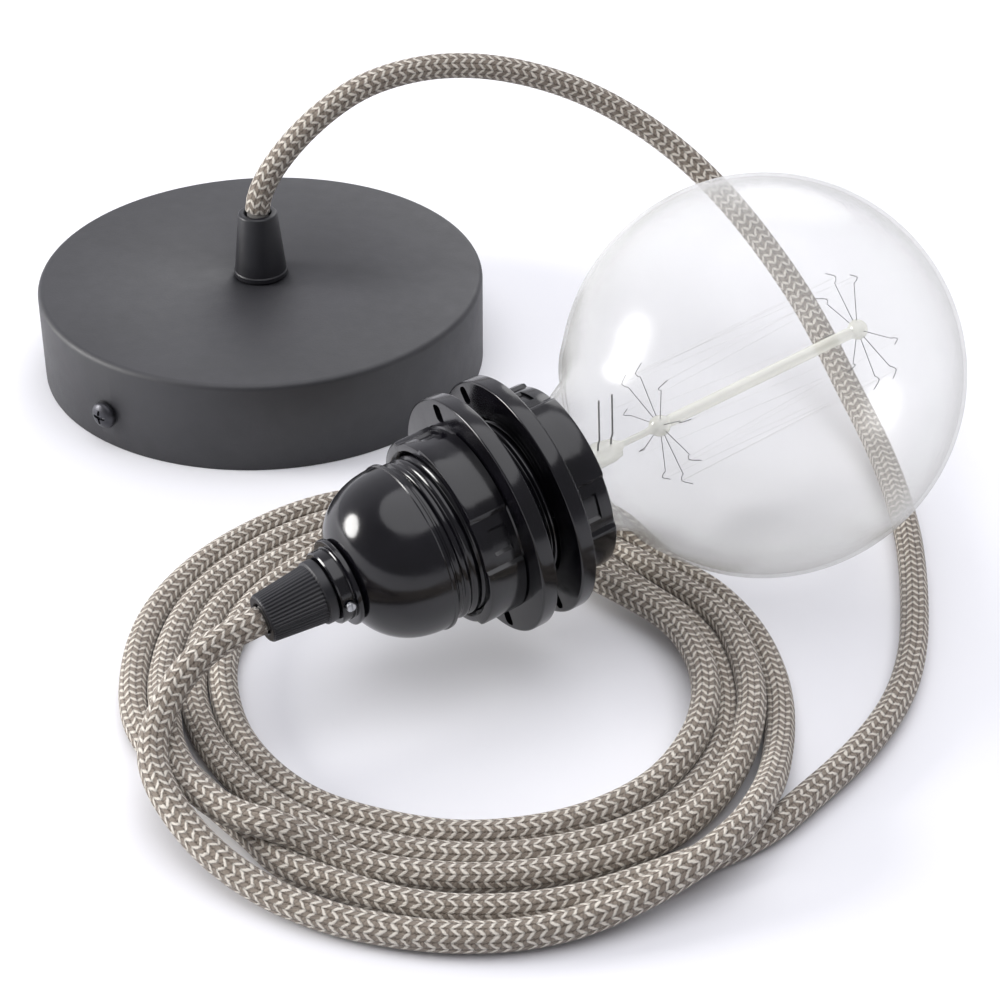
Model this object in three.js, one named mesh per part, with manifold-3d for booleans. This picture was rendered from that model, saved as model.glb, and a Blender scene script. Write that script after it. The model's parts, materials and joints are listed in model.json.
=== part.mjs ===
// Pendant cord set: a round ceiling cup, a textile cord laid in a coil, and a threaded lampholder
// with two ring nuts that carries a clear globe bulb. Millimetres, +Z up, the table is z = 0.
// The set lies as it is packed out: the cup on its open rim, the bulb on its globe, the cord coiled.
import * as THREE from "three";
import { mergeVertices } from "three/addons/utils/BufferGeometryUtils.js";
import Module from "manifold-3d";

const wasm = await Module();
wasm.setup();

// Facets round a full turn
const FACETS = { cup: 44, large: 32, medium: 20, small: 14, pin: 10, wire: 6 };

// Clearances
const SEAT_GAP = 0.3; // between faces that rest on each other
const RUN_GAP = 0.3; // round a pin, a cord or a thread in its bore

// Ceiling cup, drawn from sheet steel
const CUP_RADIUS = 60;
const CUP_HEIGHT = 25;
const CUP_WALL = 1.0;
const CUP_EDGE = 1.6;

// Cord grip on the cup, with its threaded shank and lock nut
const GRIP_BASE_RADIUS = 7.2;
const GRIP_BASE_HEIGHT = 1.6;
const GRIP_TOP_RADIUS = 5.3;
const GRIP_HEIGHT = 18.2;
const GRIP_SHANK_RADIUS = 4.9;
const GRIP_SHANK_LENGTH = 6.6;
const NUT_FLATS = 14;
const NUT_HEIGHT = 3.6;

// Ceiling bracket and the two side screws that hold the cup to it
const STRAP_WIDTH = 20;
const STRAP_THICKNESS = 1.5;
const STRAP_LIFT = 0.5;
const STRAP_HOLE_RADIUS = 5.5;
const STRAP_SLOT_LENGTH = 9;
const STRAP_SLOT_WIDTH = 4.2;
const STRAP_SLOT_PLACE = 44;
const TAB_WIDTH = 12;
const TAB_TOP = 15;
const SIDE_SCREW_TURN = -128; // degrees about the cup's axis
const SIDE_SCREW_Z = 9.5;
const SIDE_SCREW_RADIUS = 1.7;
const SIDE_SCREW_TAIL = 2.5;
const SIDE_HEAD_RADIUS = 3.6;
const SIDE_HEAD_HEIGHT = 2.8;

// Terminal block on the bracket, with its screws and wires
const BLOCK_LENGTH = 16;
const BLOCK_HEIGHT = 11;
const BLOCK_START = 14;
const BLOCK_POLES = 3;
const POLE_PITCH = 7.5;
const BLOCK_BORE_RADIUS = 1.5;
const BLOCK_BORE_HEIGHT = 4.2;
const TERMINAL_SCREW_RADIUS = 1.5;
const TERMINAL_SCREW_LENGTH = 4.2;
const TERMINAL_SCREW_SINK = 0.8;
const WIRE_RADIUS = 1.1;

// Textile cord
const CORD_RADIUS = 3.3;
const CORD_SIDES = 8;
const SHEATH_RADIUS = 2.9; // the stripped cord inside the grips

// Pendant head: the globe rests on the table, and the axis climbs from the cord grip to the bulb
const GLOBE_PLACE = [126.2, -92.8];
const HEAD_TURN = 31.8; // degrees about Z
const HEAD_CLIMB = 8.4; // degrees above the table

// Bulb, measured along the head's axis from the neck disc of the cap
const GLOBE_RADIUS = 47.5;
const GLASS_WALL = 0.8;
const BULB_LENGTH = 138;
const FLARE_JOIN_TURN = 47; // degrees behind the globe's middle
// The flare from the neck to the globe, as shares of its rise and its length
const FLARE_SHAPE = [
  [0.024, 0.028], [0.0818, 0.112], [0.1635, 0.2521], [0.2597, 0.4552], [0.3847, 0.6372], [0.5963, 0.7983],
  [0.8125, 0.8705],
];
const LAMP_CAP_LENGTH = 24.5;
const LAMP_THREAD_RADIUS = 13.2;
const LAMP_SHELL_WALL = 0.8;
const END_CONTACT_RADIUS = 4.4;
const END_CONTACT_HEIGHT = 1.5;
const INSULATOR_HEIGHT = 3.4;
const NECK_RADIUS = 11.6;
const NECK_DEPTH = 14; // inside the lamp cap
const STEM_FLARE_WALL = 0.9;
const PINCH_RISE = 8.4; // from the lamp cap to the pinch
const PINCH_LENGTH = 14;
const PINCH_WIDTH = 8.4;
const PINCH_THICKNESS = 3.4;
const ROD_RADIUS = 1.45;
const LOWER_HUB_RISE = 11.6; // from the pinch to the lower hub
const UPPER_HUB_SPACE = 19; // from the upper hub to the globe's end
const HUB_RADIUS = 2.5;
const HUB_LENGTH = 4.8;
const LOWER_HOOKS = 9;
const UPPER_HOOKS = 8;
const LOWER_HOOK_TURN = 104;
const UPPER_HOOK_TURN = 84;
const HOOK_REACH = 15.4;
const HOOK_WIRE_RADIUS = 0.22;
const LEAD_RADIUS = 0.3;
const LEAD_CLEARANCE = 1.5; // from a lead wire's end to the glass
const LEAD_TURN = 98;
const LEAD_SPACING = 3.6;
const FILAMENT_RADIUS = 0.1;

// Lampholder: cap, threaded skirt, insert and two ring nuts
const DISC_RADIUS = 10.2;
const DISC_THICKNESS = 1.2;
const DISC_PLACE = -1.1; // its middle
const CAP_NECK_RADIUS = 8.5;
const CAP_NECK_START = -4.8;
const CAP_RADIUS = 19.7;
const CAP_END = 17.6;
const CAP_ROUND_LENGTH = 19;
const CAP_ROUND_POWER = 2.35; // 2 is an ellipse, more is blunter
const CAP_WALL = 1.6;
const LOCK_SCREW_PLACE = -3.2;
const LOCK_SCREW_TURN = 180;
const LOCK_HEAD_RADIUS = 1.15;
const LOCK_HEAD_HEIGHT = 0.9;
const LOCK_SHANK_RADIUS = 0.8;
const SKIRT_RADIUS = 19.0;
const SKIRT_BORE_RADIUS = 16.3;
const SKIRT_END = 56.6;
const SPIGOT_LENGTH = 3.2;
const LEDGE_PLACE = 20.4;
const LEDGE_THICKNESS = 1.6;
const INSERT_LENGTH = 5.6;
const THREAD_TUBE_WALL = 1.3;
const THREAD_TUBE_END = 46.5;
const POLE_SCREW_REACH = 11.2;
const POLE_WIRE_REACH = 6.6;
const POLE_SCREW_RADIUS = 1.9;
const POLE_SCREW_LENGTH = 3.4;
const CONTACT_WIDTH = 5;
const CONTACT_THICKNESS = 0.6;
const CONTACT_RISE = 3.3; // from the insert's floor to the bulb's end contact

const RING_FLANGE_RADIUS = 28.5;
const RING_FLANGE_THICKNESS = 3.9;
const RING_COLLAR_LENGTH = 9.6;
const RING_COLLAR_RADIUS = 21.7;
const RING_PAD_RISE = 0.8;
const RING_PAD_COUNT = 4;
const RING_PAD_SPAN = 58; // degrees
const RING_POCKET_SPAN = 16;
const RING_POCKET_DEPTH = 0.7;
const RING_POCKET_LENGTH = 4.4;
const RING_EDGE = 0.5;
const RING_SLOT_PLACE = 25.3;
const RING_SLOT_LENGTH = 4.2;
const RING_SLOT_WIDTH = 3.4;
const RING_CLAMP_GAP = 6.2; // between the two flanges, where a shade would be held
const REAR_RING_END = 37.6; // front face of the rear flange
const REAR_RING_TURN = 84;
const REAR_SLOT_TURN = 69;
const FRONT_RING_TURN = 93;
const FRONT_SLOT_TURN = 54;

// Ribbed cord grip on the lampholder
const RELIEF_START = -20.4;
const RELIEF_TIP_RADIUS = 5.6;
const RELIEF_RIB_END = -6.4;
const RELIEF_BIG_RADIUS = 6.9;
const RELIEF_COLLAR_RADIUS = 7.4;
const RELIEF_RIBS = 44;
const RELIEF_RIB_DEPTH = 0.3;
const RELIEF_SPIGOT_RADIUS = 6.2;
const RELIEF_SPIGOT_END = 3.6;

// Free cord. Points chosen by hand, [x, y, z] from the foot of the cup's axis.
const ARCH_ROUTE = [
  [0, 0, 44], [0.1, 0, 46.6], [1.8, 0.7, 51.2], [5.8, 2.2, 57.2], [11.1, 4.5, 63.1], [17, 7.1, 68],
  [23.2, 9.7, 72], [29.8, 12.2, 75], [44.3, 16.8, 77.5], [59.5, 20.4, 76.5], [74.6, 22.5, 72.7],
  [89.1, 23, 66.9], [102.8, 21.3, 59.4], [115.4, 17.5, 50.8], [126.5, 11.2, 41.6], [136, 2.7, 32.5],
  [144.2, -7.8, 24.1], [150.6, -20, 16.7], [155.5, -33.7, 10.7], [159.8, -48.4, 6.7],
  [162.6, -63.7, 4.5], [164, -79.4, 3.6], [164.2, -95.2, 3.5], [163.2, -111.1, 3.5],
  [161.4, -126.8, 3.5], [158.7, -142.4, 3.5], [154, -157.4, 3.5], [146.8, -171.3, 3.5],
  [137.5, -184.1, 3.5], [123.06, -202.9, 3.5],
];
const LEAD_IN_ROUTE = [
  [13, -163, 27.8], [10.1, -164.8, 27.3], [5.4, -167.7, 26.4], [0, -171.6, 24.4], [-4.6, -177, 20.6],
  [-7.4, -183.6, 16.2], [-8.2, -190.6, 13], [-6.4, -197.6, 11.5], [-2, -204, 11.2],
];
const COIL_CENTRE = [54.5, -155.5];
const COIL_INNER_RADIUS = 49.5;
const COIL_OUTER_RADIUS = 80;
const COIL_HEIGHT = 7.4;

// Colours, roughness and metalness
const FINISH = {
  cup: { color: 0x1f2023, roughness: 0.62, metalness: 0.2 },
  plastic: { color: 0x0d0d12, roughness: 0.16, metalness: 0 },
  grip: { color: 0x191a20, roughness: 0.45, metalness: 0 },
  steel: { color: 0xa9abb0, roughness: 0.3, metalness: 1 },
  zinc: { color: 0x8d9095, roughness: 0.42, metalness: 1 },
  brass: { color: 0xb9924a, roughness: 0.35, metalness: 1 },
  block: { color: 0xd9d6cb, roughness: 0.5, metalness: 0 },
  ceramic: { color: 0xe6e2d8, roughness: 0.35, metalness: 0 },
  glass: { color: 0xe9ecec, roughness: 0.03, metalness: 0, transparent: true, opacity: 0.25 },
  darkGlass: { color: 0x16120f, roughness: 0.2, metalness: 0 },
  wire: { color: 0x5b5a58, roughness: 0.45, metalness: 1 },
  filament: { color: 0x2b2522, roughness: 0.8, metalness: 0.3 },
  cord: { color: 0x8c8071, roughness: 0.9, metalness: 0 },
  live: { color: 0x5a3420, roughness: 0.55, metalness: 0 },
  neutral: { color: 0x1d4f9a, roughness: 0.55, metalness: 0 },
  earth: { color: 0x5f8f2a, roughness: 0.55, metalness: 0 },
};

const degrees = (value) => THREE.MathUtils.degToRad(value);

// A geometry as a closed, outward-facing mesh: shared vertices joined, collapsed triangles dropped.
function closed(geometry) {
  const bare = geometry.clone();
  bare.deleteAttribute("normal");
  bare.deleteAttribute("uv");
  const merged = mergeVertices(bare, 1e-4);
  const corners = merged.index.array;
  const kept = [];
  for (let i = 0; i < corners.length; i += 3) {
    const [a, b, c] = [corners[i], corners[i + 1], corners[i + 2]];
    if (a !== b && b !== c && c !== a) kept.push(a, b, c);
  }
  if (signedVolume(merged.attributes.position, kept) < 0) {
    for (let i = 0; i < kept.length; i += 3) [kept[i + 1], kept[i + 2]] = [kept[i + 2], kept[i + 1]];
  }
  merged.setIndex(kept);
  merged.computeVertexNormals();
  return merged;
}

function signedVolume(position, corners) {
  const [a, b, c] = [new THREE.Vector3(), new THREE.Vector3(), new THREE.Vector3()];
  let sum = 0;
  for (let i = 0; i < corners.length; i += 3) {
    a.fromBufferAttribute(position, corners[i]);
    b.fromBufferAttribute(position, corners[i + 1]);
    c.fromBufferAttribute(position, corners[i + 2]);
    sum += a.dot(b.cross(c));
  }
  return sum / 6;
}

function toSolid(geometry) {
  const shut = closed(geometry);
  const vertProperties = new Float32Array(shut.attributes.position.array);
  const triVerts = new Uint32Array(shut.index.array);
  return new wasm.Manifold(new wasm.Mesh({ numProp: 3, vertProperties, triVerts }));
}

function fromSolid(solid) {
  const mesh = solid.getMesh();
  const geometry = new THREE.BufferGeometry();
  geometry.setAttribute("position", new THREE.BufferAttribute(mesh.vertProperties, 3));
  geometry.setIndex(new THREE.BufferAttribute(mesh.triVerts, 1));
  return closed(geometry);
}

function joined(first, ...others) {
  return fromSolid(others.reduce((sum, next) => sum.add(toSolid(next)), toSolid(first)));
}

function cut(first, ...others) {
  return fromSolid(others.reduce((rest, next) => rest.subtract(toSolid(next)), toSolid(first)));
}

function common(first, second) {
  return fromSolid(toSolid(first).intersect(toSolid(second)));
}

// A solid of revolution about Z from [radius, z] points that end on the axis or come back round.
function turned(profile, segments = FACETS.large) {
  const points = profile.map(([radius, z]) => new THREE.Vector2(radius, z));
  return closed(new THREE.LatheGeometry(points, segments).rotateX(Math.PI / 2));
}

// A hollow solid of revolution: the same as turned, with the profile closed on itself.
function ringTurned(profile, segments = FACETS.large) {
  return turned([...profile, profile[0]], segments);
}

// A shape in the XY plane raised from one z to another.
function raised(shape, low, high, curveSegments = 12) {
  const options = { depth: high - low, bevelEnabled: false, curveSegments };
  return closed(new THREE.ExtrudeGeometry(shape, options).translate(0, 0, low));
}

function circleShape(radius, x = 0, y = 0) {
  return new THREE.Shape().absarc(x, y, radius, 0, 2 * Math.PI, false);
}

function block(size, centre) {
  return new THREE.BoxGeometry(...size).translate(...centre);
}

// A pin along Z from one z to another, centred at x, y.
function pin(radius, low, high, x = 0, y = 0, segments = FACETS.pin) {
  return turned([[0, low], [radius, low], [radius, high], [0, high]], segments).translate(x, y, 0);
}

// Points of an arc in the [radius, z] plane.
function arc(centre, radiusR, radiusZ, from, to, steps) {
  return Array.from({ length: steps + 1 }, (_, i) => {
    const angle = degrees(from + ((to - from) * i) / steps);
    return [centre[0] + radiusR * Math.cos(angle), centre[1] + radiusZ * Math.sin(angle)];
  });
}

// Points of a blunt dome in the [radius, z] plane, from a start angle to its widest at z = end.
function dome(radius, length, end, from, steps) {
  const share = 2 / CAP_ROUND_POWER;
  return Array.from({ length: steps + 1 }, (_, i) => {
    const angle = from + ((Math.PI / 2 - from) * i) / steps;
    return [radius * Math.sin(angle) ** share, end - length * Math.max(Math.cos(angle), 0) ** share];
  });
}

// A run of straight pieces whose corners stay where they are given.
class StraightRun extends THREE.Curve {
  constructor(points) {
    super();
    this.points = points;
  }
  getPoint(t, target = new THREE.Vector3()) {
    const place = THREE.MathUtils.clamp(t, 0, 1) * (this.points.length - 1);
    const start = Math.min(Math.floor(place), this.points.length - 2);
    return target.lerpVectors(this.points[start], this.points[start + 1], place - start);
  }
  getPointAt(t, target) {
    return this.getPoint(t, target);
  }
  getTangentAt(t, target = new THREE.Vector3()) {
    const reach = 0.25 / (this.points.length - 1);
    const ahead = this.getPoint(Math.min(t + reach, 1));
    return target.copy(ahead).sub(this.getPoint(Math.max(t - reach, 0))).normalize();
  }
}

const vectors = (points) => points.map((point) => new THREE.Vector3(...point));

// A round wire whose corners are the given points.
function bentWire(points, radius, sides = FACETS.wire) {
  const options = {
    steps: points.length - 1,
    extrudePath: new StraightRun(vectors(points)),
    curveSegments: sides,
    bevelEnabled: false,
  };
  return closed(new THREE.ExtrudeGeometry(polygonShape(radius, sides), options));
}

function polygonShape(radius, sides) {
  const corners = Array.from({ length: sides }, (_, i) => {
    const angle = (2 * Math.PI * (i + 0.5)) / sides;
    return new THREE.Vector2(radius * Math.cos(angle), radius * Math.sin(angle));
  });
  return new THREE.Shape(corners);
}

// A round cord on a smooth curve through the given points.
function smoothCord(points, radius, sides, steps) {
  const options = {
    steps,
    extrudePath: new THREE.CatmullRomCurve3(vectors(points), false, "centripetal"),
    bevelEnabled: false,
  };
  return closed(new THREE.ExtrudeGeometry(polygonShape(radius, sides), options));
}

function addPiece(group, name, geometry, finish) {
  const mesh = new THREE.Mesh(closed(geometry), new THREE.MeshStandardMaterial(FINISH[finish]));
  mesh.name = name;
  group.add(mesh);
  return mesh;
}

// Ceiling cup

function cupShell() {
  const inner = CUP_RADIUS - CUP_WALL;
  const innerTop = CUP_HEIGHT - CUP_WALL;
  const innerEdge = CUP_EDGE - CUP_WALL;
  const hole = GRIP_SHANK_RADIUS + RUN_GAP;
  const outerArc = arc([CUP_RADIUS - CUP_EDGE, CUP_HEIGHT - CUP_EDGE], CUP_EDGE, CUP_EDGE, 0, 90, 3);
  const innerArc = arc([inner - innerEdge, innerTop - innerEdge], innerEdge, innerEdge, 90, 0, 1);
  const shell = ringTurned(
    [[CUP_RADIUS, 0], ...outerArc, [hole, CUP_HEIGHT], [hole, innerTop], ...innerArc, [inner, 0]],
    FACETS.cup,
  );
  return cut(shell, ...[0, 180].map((turn) => sideHole(turn)));
}

// A hole through the cup's wall for one side screw.
function sideHole(turn) {
  const bore = pin(SIDE_SCREW_RADIUS + RUN_GAP, CUP_RADIUS - 3 * CUP_WALL, CUP_RADIUS + CUP_WALL);
  return asRadial(bore, SIDE_SCREW_TURN + turn, SIDE_SCREW_Z);
}

// Lays a shape made along Z out along a radius, at a turn about Z and a height.
function asRadial(geometry, turn, z) {
  return geometry.rotateY(Math.PI / 2).rotateZ(degrees(turn)).translate(0, 0, z);
}

function cupGrip() {
  const seat = CUP_HEIGHT + SEAT_GAP;
  const top = seat + GRIP_HEIGHT;
  const bore = CORD_RADIUS + RUN_GAP;
  const foot = seat - GRIP_SHANK_LENGTH;
  const shoulder = seat + GRIP_BASE_HEIGHT;
  return ringTurned([
    [bore, foot], [GRIP_SHANK_RADIUS, foot], [GRIP_SHANK_RADIUS, seat], [GRIP_BASE_RADIUS, seat],
    [GRIP_BASE_RADIUS, shoulder - 0.3], [GRIP_BASE_RADIUS - 0.3, shoulder],
    [GRIP_TOP_RADIUS, top - 0.7], [GRIP_TOP_RADIUS - 0.6, top], [bore, top],
  ], FACETS.medium);
}

function cupNut() {
  const high = CUP_HEIGHT - CUP_WALL - SEAT_GAP;
  const shape = polygonShape(NUT_FLATS / Math.sqrt(3), 6);
  shape.holes.push(circleShape(GRIP_SHANK_RADIUS + RUN_GAP));
  return raised(shape, high - NUT_HEIGHT, high);
}

// The bracket lies along its own X axis, turned to face the side screws.
function bracket() {
  const reach = CUP_RADIUS - CUP_WALL - 2 * SEAT_GAP;
  const tabFace = Math.sqrt(reach ** 2 - (TAB_WIDTH / 2) ** 2);
  const strapTop = STRAP_LIFT + STRAP_THICKNESS;
  const shape = new THREE.Shape();
  const half = tabFace;
  shape.moveTo(-half, -TAB_WIDTH / 2);
  shape.lineTo(-half + 8, -STRAP_WIDTH / 2);
  shape.lineTo(half - 8, -STRAP_WIDTH / 2);
  shape.lineTo(half, -TAB_WIDTH / 2);
  shape.lineTo(half, TAB_WIDTH / 2);
  shape.lineTo(half - 8, STRAP_WIDTH / 2);
  shape.lineTo(-half + 8, STRAP_WIDTH / 2);
  shape.lineTo(-half, TAB_WIDTH / 2);
  shape.holes.push(circleShape(STRAP_HOLE_RADIUS));
  for (const side of [-1, 1]) shape.holes.push(slotShape(side * STRAP_SLOT_PLACE));
  const strap = raised(shape, STRAP_LIFT, strapTop, 5);
  const tabs = [-1, 1].map((side) => {
    const centre = [side * (tabFace - STRAP_THICKNESS / 2), 0, (STRAP_LIFT + TAB_TOP) / 2];
    return block([STRAP_THICKNESS, TAB_WIDTH, TAB_TOP - STRAP_LIFT], centre);
  });
  const bore = pin(SIDE_SCREW_RADIUS + RUN_GAP, -CUP_RADIUS, CUP_RADIUS).rotateY(Math.PI / 2);
  return cut(joined(strap, ...tabs), bore.translate(0, 0, SIDE_SCREW_Z));
}

function slotShape(x) {
  const half = (STRAP_SLOT_LENGTH - STRAP_SLOT_WIDTH) / 2;
  const radius = STRAP_SLOT_WIDTH / 2;
  const shape = new THREE.Shape();
  shape.absarc(x + half, 0, radius, -Math.PI / 2, Math.PI / 2, false);
  shape.absarc(x - half, 0, radius, Math.PI / 2, 1.5 * Math.PI, false);
  return shape;
}

function sideScrew() {
  const seat = CUP_RADIUS + SEAT_GAP;
  const tip = CUP_RADIUS - CUP_WALL - SEAT_GAP - STRAP_THICKNESS - SIDE_SCREW_TAIL;
  const crown = arc([0, seat + SIDE_HEAD_HEIGHT * 0.35], SIDE_HEAD_RADIUS, SIDE_HEAD_HEIGHT * 0.65, 0, 90, 3);
  const body = turned([
    [0, tip], [SIDE_SCREW_RADIUS - 0.5, tip], [SIDE_SCREW_RADIUS, tip + 0.6], [SIDE_SCREW_RADIUS, seat],
    [SIDE_HEAD_RADIUS, seat], ...crown,
  ], FACETS.small);
  const recess = [[4.2, 0.9], [0.9, 4.2]].map(([x, y]) => block([x, y, 2.4], [0, 0, seat + SIDE_HEAD_HEIGHT]));
  return cut(body, ...recess);
}

// Terminal block

const blockFloor = () => STRAP_LIFT + STRAP_THICKNESS + SEAT_GAP;
const poleSide = (pole) => (pole - (BLOCK_POLES - 1) / 2) * POLE_PITCH;
const screwPlaces = () => [BLOCK_LENGTH * 0.25, BLOCK_LENGTH * 0.75].map((x) => BLOCK_START + x);

function terminalBlock() {
  const floor = blockFloor();
  const size = [BLOCK_LENGTH, BLOCK_POLES * POLE_PITCH, BLOCK_HEIGHT];
  const body = block(size, [BLOCK_START + BLOCK_LENGTH / 2, 0, floor + BLOCK_HEIGHT / 2]);
  const tools = [];
  for (let pole = 0; pole < BLOCK_POLES; pole += 1) {
    const bore = pin(BLOCK_BORE_RADIUS, BLOCK_START - 1, BLOCK_START + BLOCK_LENGTH + 1);
    tools.push(bore.rotateY(Math.PI / 2).translate(0, poleSide(pole), floor + BLOCK_BORE_HEIGHT));
    for (const x of screwPlaces()) {
      const low = floor + BLOCK_BORE_HEIGHT;
      tools.push(pin(TERMINAL_SCREW_RADIUS + RUN_GAP, low, floor + BLOCK_HEIGHT + 1, x, poleSide(pole)));
    }
  }
  return cut(body, ...tools);
}

function slottedScrew(radius, length, slotWidth) {
  const body = pin(radius, -length, 0);
  return cut(body, block([3 * radius, slotWidth, 1.4], [0, 0, 0]));
}

// One wire from the cord's end to its pole of the block.
function blockWire(pole) {
  const starts = [[-1.35, -0.85], [1.4, -0.8], [0, 1.6]];
  const [x, y] = starts[pole];
  const side = poleSide(pole);
  const top = tailFoot() - 2 * SEAT_GAP;
  const low = blockFloor() + BLOCK_BORE_HEIGHT;
  const points = [
    [x, y, top], [x + 0.3, y + side * 0.06, top - 2.4], [x + 2.4, y + side * 0.32, top - 5],
    [BLOCK_START - 5.5, side * 0.86, low + 1.4], [BLOCK_START - 2, side, low + 0.1],
    [BLOCK_START + 1, side, low], [BLOCK_START + 5.5, side, low],
  ];
  return smoothCord(points, WIRE_RADIUS, FACETS.wire, 12);
}

const gripTop = () => CUP_HEIGHT + SEAT_GAP + GRIP_HEIGHT;
const tailFoot = () => CUP_HEIGHT + SEAT_GAP - GRIP_SHANK_LENGTH - 2.2;

function addCup(set) {
  addPiece(set, "ceiling_cup", cupShell(), "cup");
  addPiece(set, "cup_cord_grip", cupGrip(), "grip");
  addPiece(set, "cup_grip_nut", cupNut(), "grip");
  addPiece(set, "cup_cord_tail", pin(SHEATH_RADIUS, tailFoot(), gripTop() - SEAT_GAP), "cord");
  const frame = new THREE.Group();
  frame.rotation.z = degrees(SIDE_SCREW_TURN);
  set.add(frame);
  addPiece(frame, "ceiling_bracket", bracket(), "zinc");
  for (const [i, turn] of [0, 180].entries()) {
    addPiece(frame, `side_screw_${i + 1}`, asRadial(sideScrew(), turn, SIDE_SCREW_Z), "steel");
  }
  addPiece(frame, "terminal_block", terminalBlock(), "block");
  let count = 0;
  for (let pole = 0; pole < BLOCK_POLES; pole += 1) {
    for (const x of screwPlaces()) {
      count += 1;
      const screw = slottedScrew(TERMINAL_SCREW_RADIUS, TERMINAL_SCREW_LENGTH, 0.6);
      const place = [x, poleSide(pole), blockFloor() + BLOCK_HEIGHT - TERMINAL_SCREW_SINK];
      addPiece(frame, `terminal_screw_${count}`, screw, "zinc").position.set(...place);
    }
    addPiece(frame, ["cup_wire_live", "cup_wire_earth", "cup_wire_neutral"][pole], blockWire(pole), [
      "live", "earth", "neutral",
    ][pole]);
  }
}

// Lampholder, built along Z from the cord grip to the bulb

function holderGrip() {
  const bore = CORD_RADIUS + RUN_GAP;
  const collar = CAP_NECK_START - SEAT_GAP;
  const profile = [
    [bore, RELIEF_START], [RELIEF_TIP_RADIUS, RELIEF_START], [RELIEF_BIG_RADIUS, RELIEF_RIB_END],
    [RELIEF_COLLAR_RADIUS, RELIEF_RIB_END + 0.2], [RELIEF_COLLAR_RADIUS, collar],
    [RELIEF_SPIGOT_RADIUS, collar], [RELIEF_SPIGOT_RADIUS, RELIEF_SPIGOT_END],
    [bore, RELIEF_SPIGOT_END], [bore, RELIEF_START],
  ];
  const ribbed = [1, 2];
  const points = profile.map(([radius, z]) => new THREE.Vector2(radius, z));
  const lathe = new THREE.LatheGeometry(points, 2 * RELIEF_RIBS);
  const position = lathe.attributes.position;
  for (let i = 0; i < position.count; i += 1) {
    const valley = Math.floor(i / points.length) % 2 === 1;
    if (!valley || !ribbed.includes(i % points.length)) continue;
    const radius = points[i % points.length].x;
    const share = (radius - RELIEF_RIB_DEPTH) / radius;
    position.setXYZ(i, position.getX(i) * share, position.getY(i), position.getZ(i) * share);
  }
  return lathe.rotateX(Math.PI / 2);
}

function holderCap() {
  const bore = RELIEF_SPIGOT_RADIUS + RUN_GAP;
  const discBack = DISC_PLACE - DISC_THICKNESS / 2;
  const discFront = DISC_PLACE + DISC_THICKNESS / 2;
  const power = CAP_ROUND_POWER / 2;
  const start = Math.acos(((CAP_END - discFront) / CAP_ROUND_LENGTH) ** power);
  const outer = dome(CAP_RADIUS, CAP_ROUND_LENGTH, CAP_END, start, 6);
  const innerRadius = CAP_RADIUS - CAP_WALL;
  const innerStart = Math.asin((bore / innerRadius) ** power);
  const inner = dome(innerRadius, CAP_ROUND_LENGTH - CAP_WALL, CAP_END, innerStart, 4).reverse();
  const shell = ringTurned([
    [bore, CAP_NECK_START], [CAP_NECK_RADIUS, CAP_NECK_START], [CAP_NECK_RADIUS, discBack],
    [DISC_RADIUS - 0.3, discBack], [DISC_RADIUS, discBack + 0.3], [DISC_RADIUS, discFront],
    ...outer, ...inner,
  ], FACETS.large);
  const hole = pin(LOCK_SHANK_RADIUS + RUN_GAP, CAP_NECK_RADIUS - 3.5, CAP_NECK_RADIUS + 1);
  return cut(shell, asRadial(hole, LOCK_SCREW_TURN, LOCK_SCREW_PLACE));
}

function lockScrew() {
  const seat = CAP_NECK_RADIUS + SEAT_GAP;
  const top = seat + LOCK_HEAD_HEIGHT;
  const tip = RELIEF_SPIGOT_RADIUS + SEAT_GAP;
  const body = turned([
    [0, tip], [LOCK_SHANK_RADIUS, tip], [LOCK_SHANK_RADIUS, seat], [LOCK_HEAD_RADIUS, seat],
    [LOCK_HEAD_RADIUS, top - 0.3], [LOCK_HEAD_RADIUS - 0.3, top], [0, top],
  ], FACETS.pin);
  const slot = block([0.6, 4, 0.9], [0, 0, top]);
  return asRadial(cut(body, slot), LOCK_SCREW_TURN, LOCK_SCREW_PLACE);
}

function holderSkirt() {
  const shoulder = CAP_END + SEAT_GAP;
  const spigotStart = CAP_END - SPIGOT_LENGTH;
  const spigot = CAP_RADIUS - CAP_WALL - 3 * RUN_GAP;
  const ledge = threadTubeRadius() + RUN_GAP;
  const ledgeEnd = LEDGE_PLACE + LEDGE_THICKNESS;
  return ringTurned([
    [SKIRT_BORE_RADIUS, spigotStart], [spigot, spigotStart], [spigot, shoulder], [SKIRT_RADIUS, shoulder],
    [SKIRT_RADIUS, SKIRT_END - 0.6], [SKIRT_RADIUS - 0.6, SKIRT_END], [SKIRT_BORE_RADIUS, SKIRT_END],
    [SKIRT_BORE_RADIUS, ledgeEnd], [ledge, ledgeEnd], [ledge, LEDGE_PLACE], [SKIRT_BORE_RADIUS, LEDGE_PLACE],
  ], FACETS.large);
}

const threadTubeBore = () => LAMP_THREAD_RADIUS + 2 * RUN_GAP;
const threadTubeRadius = () => threadTubeBore() + THREAD_TUBE_WALL;
const insertFloor = () => LEDGE_PLACE - SEAT_GAP;

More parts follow.
